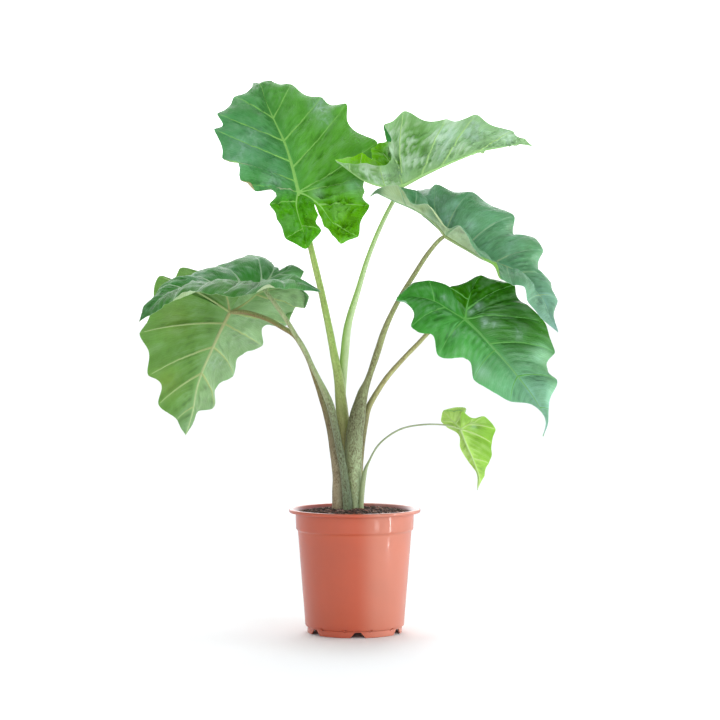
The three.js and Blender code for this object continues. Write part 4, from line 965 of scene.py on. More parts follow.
def relief(half, seed, skin):
    """Adds the finer relief along up: skin puffed between two veins by PUFF's share of their distance
    w, as sin(pi d / w), pleats that fan out from the ribs as a sine wave, blisters and crumples between
    them, single bulges, and a margin that waves and rolls down. All of them are nothing at the ribs,
    and crumples fade again towards the margin. crest keeps how far a point stands above or below the
    skin round it."""
    grid, t = half["grid"], half["t"]
    before, after = vein_distances(half)
    width = np.minimum(before + after, PUFF["widest"])
    across = np.sin(math.pi * np.clip(before / np.maximum(before + after, TINY), 0, 1))
    short = np.minimum(half["length"] / FULL_BOW_LENGTH, 1)[:, None]
    fan = np.repeat(travelled(grid[:, ROWS // 2])[:, None], ROWS, axis=1)
    puffed = PUFF["share"] * width * across * (1 - t ** PUFF["power"])
    puffed = np.where((before < FAR) & (after < FAR), puffed, 0) * smoothstep(*PUFF["rise"], t)
    wander = ripples(grid, PLEATS["wander_length"], seed + 2) * PLEATS["wander"]
    pleats = np.sin((fan + wander) * 2 * math.pi / PLEATS["spacing"]) \
        * smoothstep(*PLEATS["rise"], t) * (1 - smoothstep(*PLEATS["fall"], t))
    drawn_out = np.stack([fan, BLISTERS["drawn_out"] * t * half["length"][:, None], np.zeros_like(fan)], -1)
    blisters = ripples(drawn_out, BLISTERS["length"], seed + 1) * smoothstep(*BLISTERS["rise"], t) \
        * (1 - BLISTERS["loss"] * t)
    waved = EDGE_WAVE["height"] * t ** EDGE_WAVE["power"] * ripples(grid, EDGE_WAVE["length"], seed) * short
    rolled = -EDGE_ROLL["height"] * t ** EDGE_ROLL["power"] * short
    folds = 1 - CRUMPLES["depth"] * np.abs(ripples(grid, CRUMPLES["length"], seed + 3))
    crumpled = of_lobe(half, skin["crumple"]) * folds * smoothstep(*CRUMPLES["rise"], t)
    crumpled = crumpled * (1 - CRUMPLES["loss"] * t ** CRUMPLES["power"]) * short
    swollen = bulged(grid, skin["bulges"]) * smoothstep(*BULGE_RISE, t)
    lift = puffed + waved + rolled + skin["pucker"] * (PLEATS["share"] * pleats + blisters) * short
    lift = lift + crumpled + swollen
    half["grid"] = grid + half["up"][:, None] * lift[..., None]
    half["fan"] = fan
    half["vein"] = np.minimum(before, after)
    half["crest"] = blisters + CREST["pleats"] * pleats + CREST["puff"] * across \
        + CREST["folds"] * (swollen + crumpled)
    half["shine"] = bulged(half["grid"], skin["shine"])
    half["gloss"] = np.repeat(of_lobe(half, skin["gloss"]) * (1 - to_tip(half, skin)), ROWS, axis=1)
    return half


def rib_steps(leaf):
    """Places on the ribs where columns stand, the same for both halves: every margin point's, with
    even steps between them."""
    def divided(marks, step):
        marks = np.unique(np.round(marks, DIGITS))
        counts = [max(1, math.ceil((b - a) / step)) for a, b in zip(marks, marks[1:])]
        pieces = [np.linspace(a, b, count, endpoint=False) for a, b, count in zip(marks, marks[1:], counts)]
        return np.concatenate([*pieces, marks[-1:]])

    ats = np.array([row[0] for half in ("left", "right") for row in leaf[half]["margin"]])
    lobe_ats = np.where(ats > LOBE_END, MIDRIB_START - ats, ats)[ats < MIDRIB_START]
    on_costa = divided(np.concatenate([[0, 1], lobe_ats]), COSTA_STEP)
    on_midrib = divided(np.concatenate([[0, 1], ats[ats > MIDRIB_START] - MIDRIB_START]), MIDRIB_STEP)
    places = np.concatenate([on_costa, MIDRIB_START - on_costa, MIDRIB_START + on_midrib])
    return np.unique(np.round(places, DIGITS))


def half_tint(half, skin, face):
    """Colours of one face: the lobe's as far as the junction, then the half's own, drawn to the mean of
    both halves near the midrib, then the tip's, with patches over them. Hollows are painted darker as
    shade, and crests are drawn to a painted highlight colour."""
    mine, others = (0, 1) if half["side"] > 0 else (1, 0)
    near = np.exp(-half["along"] / HALVES_MIX["reach"])[..., None] * HALVES_MIX["share"]
    colour = blended(hex_colour(skin[face][mine]), hex_colour(skin[face][others]), near)
    # The lobes' colour, brighter on the top leaves, paints light shining through them.
    if face == "upper":
        colour = blended(colour, hex_colour(skin["lobes"][mine]), of_lobe(half, (0, 1))[..., None])
    colour = blended(colour, hex_colour(skin["tip"][face == "under"]), to_tip(half, skin)[..., None])
    # Patches: partly the leaf's own blotches, partly painted shade (dark) and painted highlights (whitish).
    for *spot, patch in skin["patches"]:
        colour = blended(colour, hex_colour(patch), bulged(half["grid"], [spot])[..., None])
    crest_highlight, *strengths = skin["crest_highlight"]
    # Painted shade in the hollows, and a painted highlight on the crests.
    colour = colour * (1 - HOLLOW_SHADE["share"] * smoothstep(*HOLLOW_SHADE["crest"], half["crest"]))[..., None]
    lit = strengths[face == "under"] * smoothstep(*CREST_HIGHLIGHT_SPAN, half["crest"])
    return blended(colour, hex_colour(crest_highlight), lit[..., None])


def point_normals(points, faces):
    """The mean of the faces' normals round each point, weighted by their areas."""
    corners = points[faces]
    face_normals = np.cross(corners[:, 1] - corners[:, 0], corners[:, 2] - corners[:, 0])
    normals = np.zeros_like(points)
    for corner in faces.T:
        np.add.at(normals, corner, face_normals)
    return unit(normals)


def blade_parts(leaf, seed):
    """The sheet of both halves, welded and given its thickness, its rolled edges, and the ribs and veins
    that stand out of it."""
    skin = SKINS[leaf["name"]]
    steps = rib_steps(leaf)
    halves = [relief(half_grid(leaf, side, steps), seed + side, skin) for side in (1, -1)]
    for half in halves:
        half["upper_tint"], half["under_tint"] = (half_tint(half, skin, face) for face in ("upper", "under"))
    counts = [half["at"].size * ROWS for half in halves]

    def joined(name):
        return np.concatenate([half[name].reshape(count, -1) for half, count in zip(halves, counts)])

    places = np.round(joined("grid") / WELD).astype(np.int64)
    _, first, ids = np.unique(places, axis=0, return_index=True, return_inverse=True)
    points = joined("grid")[first]
    for half, half_ids in zip(halves, np.split(ids.ravel(), [counts[0]])):
        half["ids"] = half_ids.reshape(-1, ROWS)
    faces = np.vstack([grid_faces(half["ids"])[:, ::half["side"]] for half in halves])
    normals = point_normals(points, faces)
    names = ("vein", "along", "edge", "fan", "shine", "gloss")
    values = {name: joined(name)[first, 0] for name in names}
    thickness = blended(EDGE_THICKNESS, RIB_THICKNESS, np.exp(-values["along"] / RIB_REACH))
    sheet = {
        **thick_sheet(points, faces, normals, thickness[:, None] / 2),
        "tint": np.vstack([joined("upper_tint")[first], joined("under_tint")[first]]),
        "values": {name: np.tile(numbers, 2) for name, numbers in values.items()},
    }
    sheet["values"]["under"] = np.repeat([0.0, 1.0], len(points))
    return [sheet, *rolled_edges(skin, halves), *rib_parts(leaf, skin, halves, points, normals)]


def thick_sheet(points, faces, normals, half_thickness):
    """A closed sheet: points moved out and in along normals, and a wall along each edge that only one
    face has."""
    count = len(points)
    sides = np.concatenate([faces[:, [0, 1]], faces[:, [1, 2]], faces[:, [2, 0]]])
    a, b = sides[~np.isin(sides[:, 0] * count + sides[:, 1], sides[:, 1] * count + sides[:, 0])].T
    walls = np.vstack([np.stack([a, a + count, b + count], -1), np.stack([a, b + count, b], -1)])
    return {
        "points": np.vstack([points + normals * half_thickness, points - normals * half_thickness]),
        "faces": np.vstack([faces, faces[:, ::-1] + count, walls]),
    }


def rolled_edges(skin, halves):
    """Stretches of margin turned over: edge + inward r (1 - cos a) + up r sin a, where a goes from
    nothing to the roll's turn and r swells and shrinks by a half sine along the stretch."""
    parts = []
    angle = np.linspace(0, math.radians(ROLL["turn"]), ROLL["rows"])
    for side, first, last, radius, face, colour in skin["rolls"]:
        half = halves[0 if side == "left" else 1]
        stations = half["stations"]
        start, end = np.interp([first + 1, last + 1], np.arange(len(stations)), stations).round().astype(int)
        columns = np.arange(start, end + 1)
        edge = half["grid"][columns, -1]
        inward = smoothed(unit(half["grid"][columns, ROLL["inward_row"]] - edge))[:, None]
        up = smoothed(half["up"][columns])[:, None] * face
        swell = ROLL["least"] + (1 - ROLL["least"]) * np.sin(np.linspace(0, math.pi, len(columns)))
        uneven = 1 + ROLL["uneven"] * ripples(edge, ROLL["uneven_length"], int(first + last))
        swell = (swell * uneven * radius)[:, None]
        grid = edge[:, None] + inward * (swell * (1 - np.cos(angle)))[..., None] \
            + up * (swell * np.sin(angle))[..., None]
        normals = unit(np.cross(np.gradient(grid, axis=0), np.gradient(grid, axis=1))).reshape(-1, 3)
        faces = grid_faces(np.arange(grid.size // 3).reshape(grid.shape[:2]))
        part = thick_sheet(grid.reshape(-1, 3), faces, normals, ROLL["thickness"] / 2)
        count = len(part["points"])
        part["tint"] = np.broadcast_to(hex_colour(colour), (count, 3))
        part["values"] = {name: np.full(count, number) for name, number in ROLL_VALUES.items()}
        part["values"]["fan"] = part["points"][:, 0]
        parts.append(part)
    return parts


def rib_parts(leaf, skin, halves, points, normals):
    """The midrib, a costa for each back lobe and a vein out to each tooth of the margin. A bar's radius
    is least + size (1 - s) ^ power, where s goes from 0 to 1 along it."""
    stout = leaf["stem"][-1][3] * skin["stout"]
    start, end, vein_colour = (hex_colour(text) for text in (*skin["rib"], skin["vein"]))
    parts = []

    def add(ids, shape, size, first_colour, last_colour):
        apart = np.linalg.norm(np.diff(points[ids], axis=0), axis=1) > RIB_LEAST_STEP
        ids = ids[np.concatenate([[True], apart])]
        share = distance_knots(points[ids])
        tint = blended(first_colour, last_colour, share[:, None] ** RIB_COLOUR_POWER)
        radius = shape["least"] + size * (1 - share) ** shape["power"]
        parts.append({**tube(points[ids], normals[ids], radius, tint, shape), "material": 1})

    left = halves[0]
    add(left["ids"][left["at"] >= MIDRIB_START, 0], MIDRIB, stout, start, end)
    for half in halves:
        ids = half["ids"]
        costa = np.concatenate([ids[half["at"] <= LOBE_END, 0], ids[half["lobe_column"], :-1]])
        add(costa, COSTA, stout * COSTA["share"], start, vein_colour)
        for column in half["veins"][half["veins"] != half["lobe_column"]]:
            size = np.clip(half["length"][column] * VEIN["share"], *VEIN["limits"])
            add(ids[column, :-1], VEIN, size, (start + vein_colour) / 2, vein_colour)
    return parts


# What the skin's tint is multiplied by in its patches and its grain, from dark to light, and on the
# veins. The two nets of fine veins: how far apart they stand, how much of each is cut off, how pale
# and how deep they are. How far a rib's and a vein's halo and the pale rim reach in millimetres, and
# how pale they are. The painted reflection where shine is: its colour and its share.
PATCH_TONES = ((0.86, 0.88, 0.80), (1.12, 1.10, 1.18))
GRAIN_TONES = ((0.80, 0.84, 0.74), (1.2, 1.16, 1.26))
VEIN_TONE = (1.7, 1.45, 1.9)
FINE_VEINS = {"spacing": 3.6, "start": 0.25, "pale": 0.17, "deep": 0.9}
CROSS_VEINS = {"spacing": 2.4, "start": 0.5, "pale": 0.08, "deep": 0.35}
VEIN_WANDER = 9.0
HALO = {"vein": 4.2, "rib": 8.0, "pale": 0.5}
RIM = {"reach": 1.5, "pale": 0.7}
PAINTED_SHINE = {"colour": (0.50, 0.70, 0.66), "share": 0.55}
RIB_TONES = ((0.86, 0.86, 0.84), (1.14, 1.14, 1.16))


def blade_material(name, upper_dull, under_dull):
    """Leaf skin: the tint, darker and lighter in soft patches, with fine veins that fan out beside the
    side veins, finer ones across them, a paler halo on each vein, a pale thin margin and streaks of
    painted reflection where shine says so. gloss sets its reflections, and the under face is duller."""
    nodes = new_nodes(name)
    place = nodes.place()
    along, vein, edge, fan, under = map(nodes.attribute, ("along", "vein", "edge", "fan", "under"))
    patches = nodes.noise(place, size=34, detail=3.0, span=(0.25, 0.75))
    grain = nodes.noise(place, size=2.2, detail=4.0, roughness=0.65)
    tint = nodes.attribute("tint", "Color")
    shaded = nodes.shaded(tint, patches, PATCH_TONES)
    shaded = nodes.shaded(shaded, grain, GRAIN_TONES, 0.5)
    wander = nodes.times(nodes.noise(place, size=14, detail=2.0), VEIN_WANDER)
    fine = nodes.ridge(nodes.plus(fan, wander), FINE_VEINS)
    cross = nodes.ridge(nodes.plus(along, wander), CROSS_VEINS)
    halo, rib_halo, rim = (
        nodes.between(distance, 0.0, reach, 1.0, 0.0)
        for distance, reach in ((vein, HALO["vein"]), (along, HALO["rib"]), (edge, RIM["reach"])))
    paler = nodes.mix(1.0, shaded, VEIN_TONE, "MULTIPLY")
    faint = nodes.plus(nodes.times(fine, FINE_VEINS["pale"]), nodes.times(cross, CROSS_VEINS["pale"]))
    near = nodes.times(nodes.larger(halo, rib_halo), HALO["pale"])
    glow = nodes.larger(nodes.larger(faint, near), nodes.times(rim, RIM["pale"]))
    skin = nodes.mix(glow, shaded, paler)
    # Pale streaks painted where shine is, standing in for reflections.
    streaks = nodes.noise(nodes.place((1.2, 1, 0.8)), size=12, detail=2.0, roughness=0.5, distortion=0.7,
                          span=(0.42, 0.66, 0.35, 1.0))
    painted_shine_mask = nodes.times(nodes.attribute("shine"), streaks)
    skin = nodes.mix(nodes.times(painted_shine_mask, PAINTED_SHINE["share"]), skin, PAINTED_SHINE["colour"])
    gloss = nodes.times(nodes.attribute("gloss"), BLADE_SPECULAR)
    dull = nodes.plus(nodes.times(under, under_dull - upper_dull), upper_dull)
    dull = nodes.plus(dull, nodes.times(patches, 0.08))
    sunk = nodes.plus(nodes.times(fine, FINE_VEINS["deep"]), nodes.times(cross, CROSS_VEINS["deep"]))
    height = nodes.minus(nodes.times(grain, 0.8), sunk)
    return nodes.surface(IOR=1.45, Base_Color=skin, Specular_IOR_Level=gloss, Roughness=dull,
                         Normal=nodes.bump(height, distance=0.0006, strength=0.7))


def rib_material(name):
    """Rib and vein skin: the tint with faint streaks."""
    nodes = new_nodes(name)
    streaks = nodes.noise(nodes.place(), size=3.0, detail=3.0)
    colour = nodes.shaded(nodes.attribute("tint", "Color"), streaks, RIB_TONES)
    return nodes.surface(IOR=1.45, Specular_IOR_Level=0.3, Roughness=0.5, Base_Color=colour,
                         Normal=nodes.bump(streaks, distance=0.0003, strength=0.4))


# Stems

def stem_part(leaf, seed):
    """A stem: point + aside w/2 cos(a) + front w/2 flatness sin(a) round a smooth line, flatter where it
    is wide, and drawn to a point in the rib over its last few millimetres. It is darker and more
    mottled round the top of its sheath."""
    skin = SKINS[leaf["name"]]
    stem = np.array(leaf["stem"], float)
    rows = np.column_stack([seen(stem[:, :3]), stem[:, 3]])
    share = np.linspace(0, 1, STEM_RINGS)
    line = smooth_curve(distance_knots(rows), rows)(share)
    path, width = line[:, :3], line[:, 3]
    along = unit(np.gradient(path, axis=0))
    aside = unit(np.cross(np.array([0.0, -1.0, 0.0]), along))
    front = np.cross(along, aside)
    left_over = travelled(path)[-1] - travelled(path)
    taper = np.clip(left_over / STEM_TAPER["length"], 0, 1) ** STEM_TAPER["power"]
    width = width * (STEM_TAPER["least"] + (1 - STEM_TAPER["least"]) * taper)
    flatness = np.clip(STEM_FLATNESS["start"] - width / STEM_FLATNESS["width"], STEM_FLATNESS["least"], 1)
    turn = circle(STEM_SIDES)
    ring = aside[:, None] * np.cos(turn)[None, :, None] \
        + front[:, None] * (np.sin(turn)[None] * flatness[:, None])[..., None]
    rings = path[:, None] + ring * (width / 2)[:, None, None]
    waves = ripples(rings, STEM_WAVES["length"], seed) * STEM_WAVES["share"] * width[:, None]
    rings = rings + unit(ring) * waves[..., None]
    # One side lighter than the other: painted light and shade across the stem.
    to_left = smoothstep(*STEM_LEFT, np.cos(turn))[None, :, None]
    foot, head = (blended(hex_colour(right), hex_colour(left), to_left)
                  for left, right in (skin["foot"], skin["head"]))
    at_rib = (1 - smoothstep(*STEM_TO_RIB, left_over))[:, None, None]
    tint = blended(foot, head, smoothstep(*STEM_RISE, share)[:, None, None])
    tint = blended(tint, hex_colour(skin["rib"][0]), at_rib)
    sheath = np.exp(-((share - SHEATH["top"]) / SHEATH["reach"]) ** 2)
    tint = tint * (1 - SHEATH["darker"] * skin["mottle"] * sheath)[:, None, None]
    mottle = skin["mottle"] * (1 - HEAD_MOTTLE_LOSS * share) * (1 + SHEATH["mottle"] * sheath)
    return closed_tube(rings, path, tint, mottle=np.repeat(mottle, STEM_SIDES))


# What the stem's tint is multiplied by in its brown and in its pale flecks.
STEM_BROWN = (0.42, 0.30, 0.24)
STEM_PALE = (1.45, 1.5, 1.7)


def stem_material(name):
    """Stem skin: the tint under fine brown flecks and paler flecks drawn out along the stem, with a
    satin finish."""
    nodes = new_nodes(name)
    long_place = nodes.place((1, 1, 0.38))
    tint = nodes.attribute("tint", "Color")
    mottle = nodes.attribute("mottle")
    flecks = nodes.noise(long_place, size=1.5, detail=4.0, roughness=0.75, span=(0.44, 0.62))
    clouds = nodes.noise(long_place, size=14, detail=3.0, span=(0.32, 0.66))
    pale = nodes.noise(long_place, size=2.6, detail=3.0, roughness=0.6, distortion=0.6, span=(0.54, 0.68))
    brown = nodes.mix(1.0, tint, STEM_BROWN, "MULTIPLY")
    light = nodes.mix(1.0, tint, STEM_PALE, "MULTIPLY")
    dark_share = nodes.times(nodes.times(flecks, mottle), nodes.plus(clouds, 0.3))
    colour = nodes.mix(dark_share, tint, brown)
    colour = nodes.mix(nodes.times(nodes.times(pale, mottle), 0.6), colour, light)
    fibres = nodes.noise(nodes.place((1, 1, 0.06)), size=1.1, detail=3.0)
    height = nodes.plus(fibres, nodes.times(flecks, 0.4))
    return nodes.surface(IOR=1.45, Specular_IOR_Level=0.38, Roughness=0.46, Base_Color=colour,
                         Normal=nodes.bump(height, distance=0.0004, strength=0.5))


# Pot

def rounded(rows):
    """A line of [radius, z] corners, each rounded by its fillet, the row's third number: over a fillet
    on both sides of a corner the line is (1-t)2 A + 2t(1-t) corner + t2 B."""
    rows = np.array(rows, float)
    corners = rows[:, :2]
    line = [corners[:1]]
    t = np.linspace(0, 1, FILLET_POINTS)[:, None]
    for before, corner, after, fillet in zip(corners, corners[1:], corners[2:], rows[1:, 2]):
        a, b = (corner + unit(end - corner) * min(fillet, np.linalg.norm(end - corner) * MOST_FILLET)
                for end in (before, after))
        line.append((1 - t) ** 2 * a + 2 * t * (1 - t) * corner + t ** 2 * b)
    return np.vstack([*line, corners[-1:]])


def extra_rows(line, longest, in_foot=None):
    """Divides the long stretches of a profile so that no step is longer than longest, or than in_foot
    on the pot's foot, where the notches and dimples are."""
    pieces = []
    inner = POT["foot"] - 2 * POT["wall"]
    for a, b in zip(line, line[1:]):
        foot = in_foot and min(a[0], b[0]) > inner and min(a[1], b[1]) < DIMPLE["top_z"]
        count = max(1, math.ceil(np.linalg.norm(b - a) / (in_foot if foot else longest)))
        pieces.append(a + (b - a) * (np.arange(count) / count)[:, None])
    return np.vstack([*pieces, line[-1:]])


def turned(line, sides):
    """A profile turned round the axis, closed by a single point where it meets the axis at each end."""
    turn = circle(sides)
    body = line[1:-1]
    points = np.stack([
        np.sin(turn)[:, None] * body[:, 0], -np.cos(turn)[:, None] * body[:, 0],
        np.broadcast_to(body[:, 1], (sides, len(body))),
    ], -1)
    ends = np.array([[0, 0, line[0, 1]], [0, 0, line[-1, 1]]])
    return points, capped(np.arange(sides * len(body)).reshape(sides, len(body))), ends


def angle_from(turn, centre):
    """The angle from centre to turn, from -pi to pi."""
    return (turn - centre + math.pi) % (2 * math.pi) - math.pi


def pot_part():
    """The pot's wall profile turned round the axis. The foot's lower edge is lifted to a trapezoid
    over each notch, and small dimples are pressed into the groove above the foot. inside marks the
    inner wall below the lip."""
    under_lip = POT["height"] - POT["lip_depth"]
    wall, foot = POT["wall"], POT["foot"]
    corners = [
        [0, POT["floor"], 0], [foot - wall, POT["floor"], 1], [foot - wall, 0, 0.5], [foot, 0, 0.5],
        [foot, POT["foot_height"], 0.7], [POT["body_bottom"], POT["body_bottom_z"], 2.4],
        [POT["body_top"], POT["body_top_z"], 2.2], [POT["band_bottom"], POT["band_z"], 1.6],
        [POT["band_top"], under_lip, 1.8], [POT["lip"], under_lip, 2.6], [POT["lip"], POT["height"], 2.8],
        [POT["lip_inner"], POT["height"], 2.2], [POT["band_top"] - wall, under_lip, 2],
        [POT["band_bottom"] - wall, POT["band_z"], 2], [POT["body_top"] - wall, POT["body_top_z"], 2],
        [POT["body_bottom"] - wall, POT["floor"] + wall, 2], [0, POT["floor"] + wall, 0],
    ]
    points, faces, ends = turned(extra_rows(rounded(corners), POT_STEP, in_foot=POT_FOOT_STEP), POT_SIDES)
    turn = circle(POT_SIDES)
    z = points[..., 2]
    for notch in range(NOTCH["count"]):
        centre = 2 * math.pi * notch / NOTCH["count"] + math.radians(NOTCH["turn"])
        across = np.abs(angle_from(turn, centre)) * foot
        slope = (NOTCH["bottom"] - NOTCH["top"]) / 2
        lift = NOTCH["height"] * np.clip((NOTCH["bottom"] / 2 - across) / slope, 0, 1)
        below = np.clip(1 - z / POT["foot_height"], 0, 1)
        z = np.where(from_axis(points) > foot - wall - 1, z + lift[:, None] * below, z)
        for aside in (-DIMPLE["aside"], DIMPLE["aside"]):
            off = np.abs(angle_from(turn, centre + math.radians(aside))) * foot / (DIMPLE["width"] / 2)
            middle, reach = ((DIMPLE["top_z"] + sign * DIMPLE["bottom_z"]) / 2 for sign in (1, -1))
            tall = np.abs(z - middle) / reach
            outside = from_axis(points) > foot - DIMPLE["skin"]
            pressed = (1 - smoothstep(*DIMPLE["fade_across"], off))[:, None] \
                * (1 - smoothstep(*DIMPLE["fade_up"], tall)) * outside
            scale = 1 - DIMPLE["depth"] * pressed / from_axis(points)
            points = np.concatenate([points[..., :2] * scale[..., None], points[..., 2:]], -1)
    points = np.concatenate([points[..., :2], z[..., None]], -1)
    points = np.vstack([points.reshape(-1, 3), ends])
    z = points[:, 2]
    outer = np.interp(z, [POT["body_bottom_z"], POT["body_top_z"], POT["band_z"], under_lip, POT["height"]],
                      [POT["body_bottom"], POT["body_top"], POT["band_bottom"], POT["band_top"],
                       POT["lip_inner"] + wall])
    inside = (from_axis(points) < outer - wall / 2) * smoothstep(POT["floor"], INSIDE["full_z"], z)
    inside = inside * (1 - smoothstep(under_lip + INSIDE["under_lip"], POT["height"], z))
    return {"points": points, "faces": faces, "values": {"inside": inside}}


# The pot's rubbed colour, the pale colour of a sheen painted on its right side, how far right of the
# axis in millimetres that painted sheen grows to full and how strong it is, and what its colour is
# multiplied by on the inside as painted shade.
SCUFF_COLOUR = (0.82, 0.60, 0.52)
RIGHT_SHEEN_COLOUR = (0.55, 0.35, 0.25)
RIGHT_SHEEN_OVER = 38
RIGHT_SHEEN_SHARE = 0.22
INSIDE_SHADE_TONE = (0.6, 1.1, 4.5)


def pot_material(colour, gloss):
    """Moulded plastic: one colour with faint clouding, dull streaks that run down, rubbed marks round
    the body, a pale sheen painted on its right side, an inside painted darker and more purple as shade
    and a slight orange-peel skin."""
    nodes = new_nodes("pot_plastic")
    place = nodes.place()
    clouds = nodes.noise(place, size=60, detail=3.0, span=(0.3, 0.7))
    streaks = nodes.noise(nodes.place((1, 1, 0.12)), size=9, detail=4.0)
    rubbed = nodes.place((0.2, 0.2, 1))
    scuffs = nodes.noise(rubbed, size=1.6, detail=5.0, roughness=0.7, span=(0.66, 0.8))
    scuffs = nodes.times(scuffs, nodes.noise(place, size=30, detail=2.0, span=(0.5, 0.72)))
    worn_and_painted_light = nodes.mix(clouds, colour * 0.95, colour * 1.06)
    worn_and_painted_light = nodes.mix(nodes.times(streaks, 0.25), worn_and_painted_light, colour * 1.18)
    worn_and_painted_light = nodes.mix(nodes.times(scuffs, 0.35), worn_and_painted_light, SCUFF_COLOUR)
    # A pale sheen painted on the right side, standing in for a broad reflection.
    right_sheen = nodes.between(nodes.axis(place, "X"), POT_AXIS[0], POT_AXIS[0] + RIGHT_SHEEN_OVER, 0.0, RIGHT_SHEEN_SHARE)
    worn_and_painted_light = nodes.mix(right_sheen, worn_and_painted_light, RIGHT_SHEEN_COLOUR)
    # The inner wall painted darker and more purple as shade.
    worn_and_painted_light = nodes.mix(nodes.attribute("inside"), worn_and_painted_light, colour * INSIDE_SHADE_TONE)
    dull = nodes.plus(nodes.times(clouds, 0.06), gloss)
    dull = nodes.plus(dull, nodes.times(scuffs, 0.2))
    peel = nodes.bump(nodes.noise(place, size=1.4, detail=2.0), distance=0.0001, strength=0.35)
    return nodes.surface(IOR=1.47, Specular_IOR_Level=0.6, Coat_Weight=0.45, Coat_Roughness=0.07,
                         Base_Color=worn_and_painted_light, Roughness=dull, Normal=peel)


# Soil

def mound(radius):
    """The soil's mean height: middle + (edge - middle) (radius / rim) ^ power."""
    return SOIL["middle_z"] + (SOIL["edge_z"] - SOIL["middle_z"]) * (radius / SOIL["radius"]) ** SOIL["power"]


def soil_top(x, y):
    """Height of the soil: the mound with lumps of three sizes that die out at the pot's wall."""
    place = np.stack([x, y, np.zeros_like(x)], -1)
    inside = smoothstep(0, SOIL["calm_edge"], SOIL["radius"] - from_axis(place))
    lumps = sum(ripples(place, length, seed) * height for length, height, seed in LUMPS)
    return mound(from_axis(place)) + lumps * inside


def soil_part():
    """A plug of soil: the pot's inner profile turned round the axis under a lumpy top."""
    rings = np.linspace(1, 0, SOIL["rings"]) * SOIL["radius"]
    lower = extra_rows(np.array(SOIL_LOWER, float), SOIL["step"])[:-1]
    points, faces, ends = turned(np.vstack([lower, np.column_stack([rings, mound(rings)])]), SOIL["sides"])
    top = points[..., 2] > SOIL["edge_z"] - 0.01
    points[..., 2] = np.where(top, soil_top(points[..., 0], points[..., 1]), points[..., 2])
    ends[1, 2] = soil_top(np.zeros(1), np.zeros(1))[0]
    return {"points": np.vstack([points.reshape(-1, 3), ends]), "faces": faces}


def rotated(first, second, angle):
    """Two coordinates turned by an angle: first cos - second sin, and first sin + second cos."""
    return first * np.cos(angle) - second * np.sin(angle), first * np.sin(angle) + second * np.cos(angle)


def loose_bits(count, seed, long, wide, thick, bend):
    """Bits of bark or fibre as one part. Each is a bar of three rings of points and a point at each
    end, sized at random, bent along its length, turned at random and laid on the soil."""
    draw = np.random.default_rng(seed)
    rings = len(BIT_RINGS)
    along, radius = (np.repeat(column, BIT_SIDES) for column in BIT_RINGS.T)
    turn = np.tile(circle(BIT_SIDES), rings)
    shape = np.stack([along, np.cos(turn) * radius / 2, np.sin(turn) * radius / 2], -1)
    shape = np.vstack([shape, [[-0.5, 0, 0], [0.5, 0, 0]]])
    faces = capped(np.arange(rings * BIT_SIDES).reshape(rings, BIT_SIDES).T)
    size = np.stack([draw.uniform(*limits, count) for limits in (long, wide, thick)], -1)
    points = shape[None] * size[:, None] * draw.uniform(*BIT_UNEVEN, (count, len(shape), 1))
    arch = bend * size[:, None, 0] * (1 - (2 * shape[None, :, 0]) ** 2)
    points[..., 2] += arch * draw.normal(0, 1, (count, 1))
    heading, pitch = draw.uniform(0, 2 * math.pi, (count, 1)), draw.normal(0, BIT_PITCH, (count, 1))
    x, z = rotated(points[..., 0], points[..., 2], pitch)
    x, y = rotated(x, points[..., 1], heading)
    reach = (SOIL["radius"] - 1 - size[:, 0] / 2) * np.sqrt(draw.uniform(0, 1, count))
    bearing = draw.uniform(0, 2 * math.pi, count)
    place = np.stack([reach * np.cos(bearing), reach * np.sin(bearing)], -1)
    ground = soil_top(place[:, 0], place[:, 1]) + size[:, 2] * draw.uniform(*BIT_RAISED, count)
    points = np.stack([x, y, z], -1) + np.concatenate([place, ground[:, None]], -1)[:, None]
    palette = np.array([hex_colour(text) for text in CHIP_COLOURS])
    chosen = palette[draw.choice(len(palette), count, p=CHIP_SHARES)] * draw.uniform(*BIT_SHADES, (count, 1))
    faces = (faces[None] + (np.arange(count) * len(shape))[:, None, None]).reshape(-1, 3)
    return {"points": points.reshape(-1, 3), "faces": faces, "tint": np.repeat(chosen, len(shape), axis=0)}


# Dark and light peat, the colour of larger lumps, and what a bit's tint is multiplied by in its grain.
PEAT_TONES = ((0.026, 0.021, 0.020), (0.15, 0.12, 0.115))
LUMP_COLOUR = (0.19, 0.15, 0.14)
BARK_TONES = ((0.6, 0.58, 0.55), (1.4, 1.4, 1.4))


def soil_material():
    """Damp peat: near-black to mid brown crumbs in noise of two sizes, with a deep crumbly bump."""
    nodes = new_nodes("potting_soil")
    place = nodes.place()
    crumb = nodes.noise(place, size=2.2, detail=5.0, roughness=0.7)
    lump = nodes.noise(place, size=9, detail=3.0)
    colour = nodes.mix(nodes.between(crumb, 0.35, 0.7), *PEAT_TONES)
    colour = nodes.mix(nodes.between(lump, 0.45, 0.75, 0.0, 0.45), colour, LUMP_COLOUR)
    return nodes.surface(Roughness=0.95, Specular_IOR_Level=0.2, Base_Color=colour,
                         Normal=nodes.bump(crumb, distance=0.0025, strength=0.9))


def chip_material():
    """Bark and fibre: each bit's own brown with a fine grain."""
    nodes = new_nodes("bark_and_fibre")
    grain = nodes.noise(nodes.place(), size=0.9, detail=4.0, roughness=0.7)
    colour = nodes.shaded(nodes.attribute("tint", "Color"), grain, BARK_TONES)
    return nodes.surface(Roughness=0.85, Specular_IOR_Level=0.25, Base_Color=colour,
                         Normal=nodes.bump(grain, distance=0.0006, strength=0.7))


# The add-on

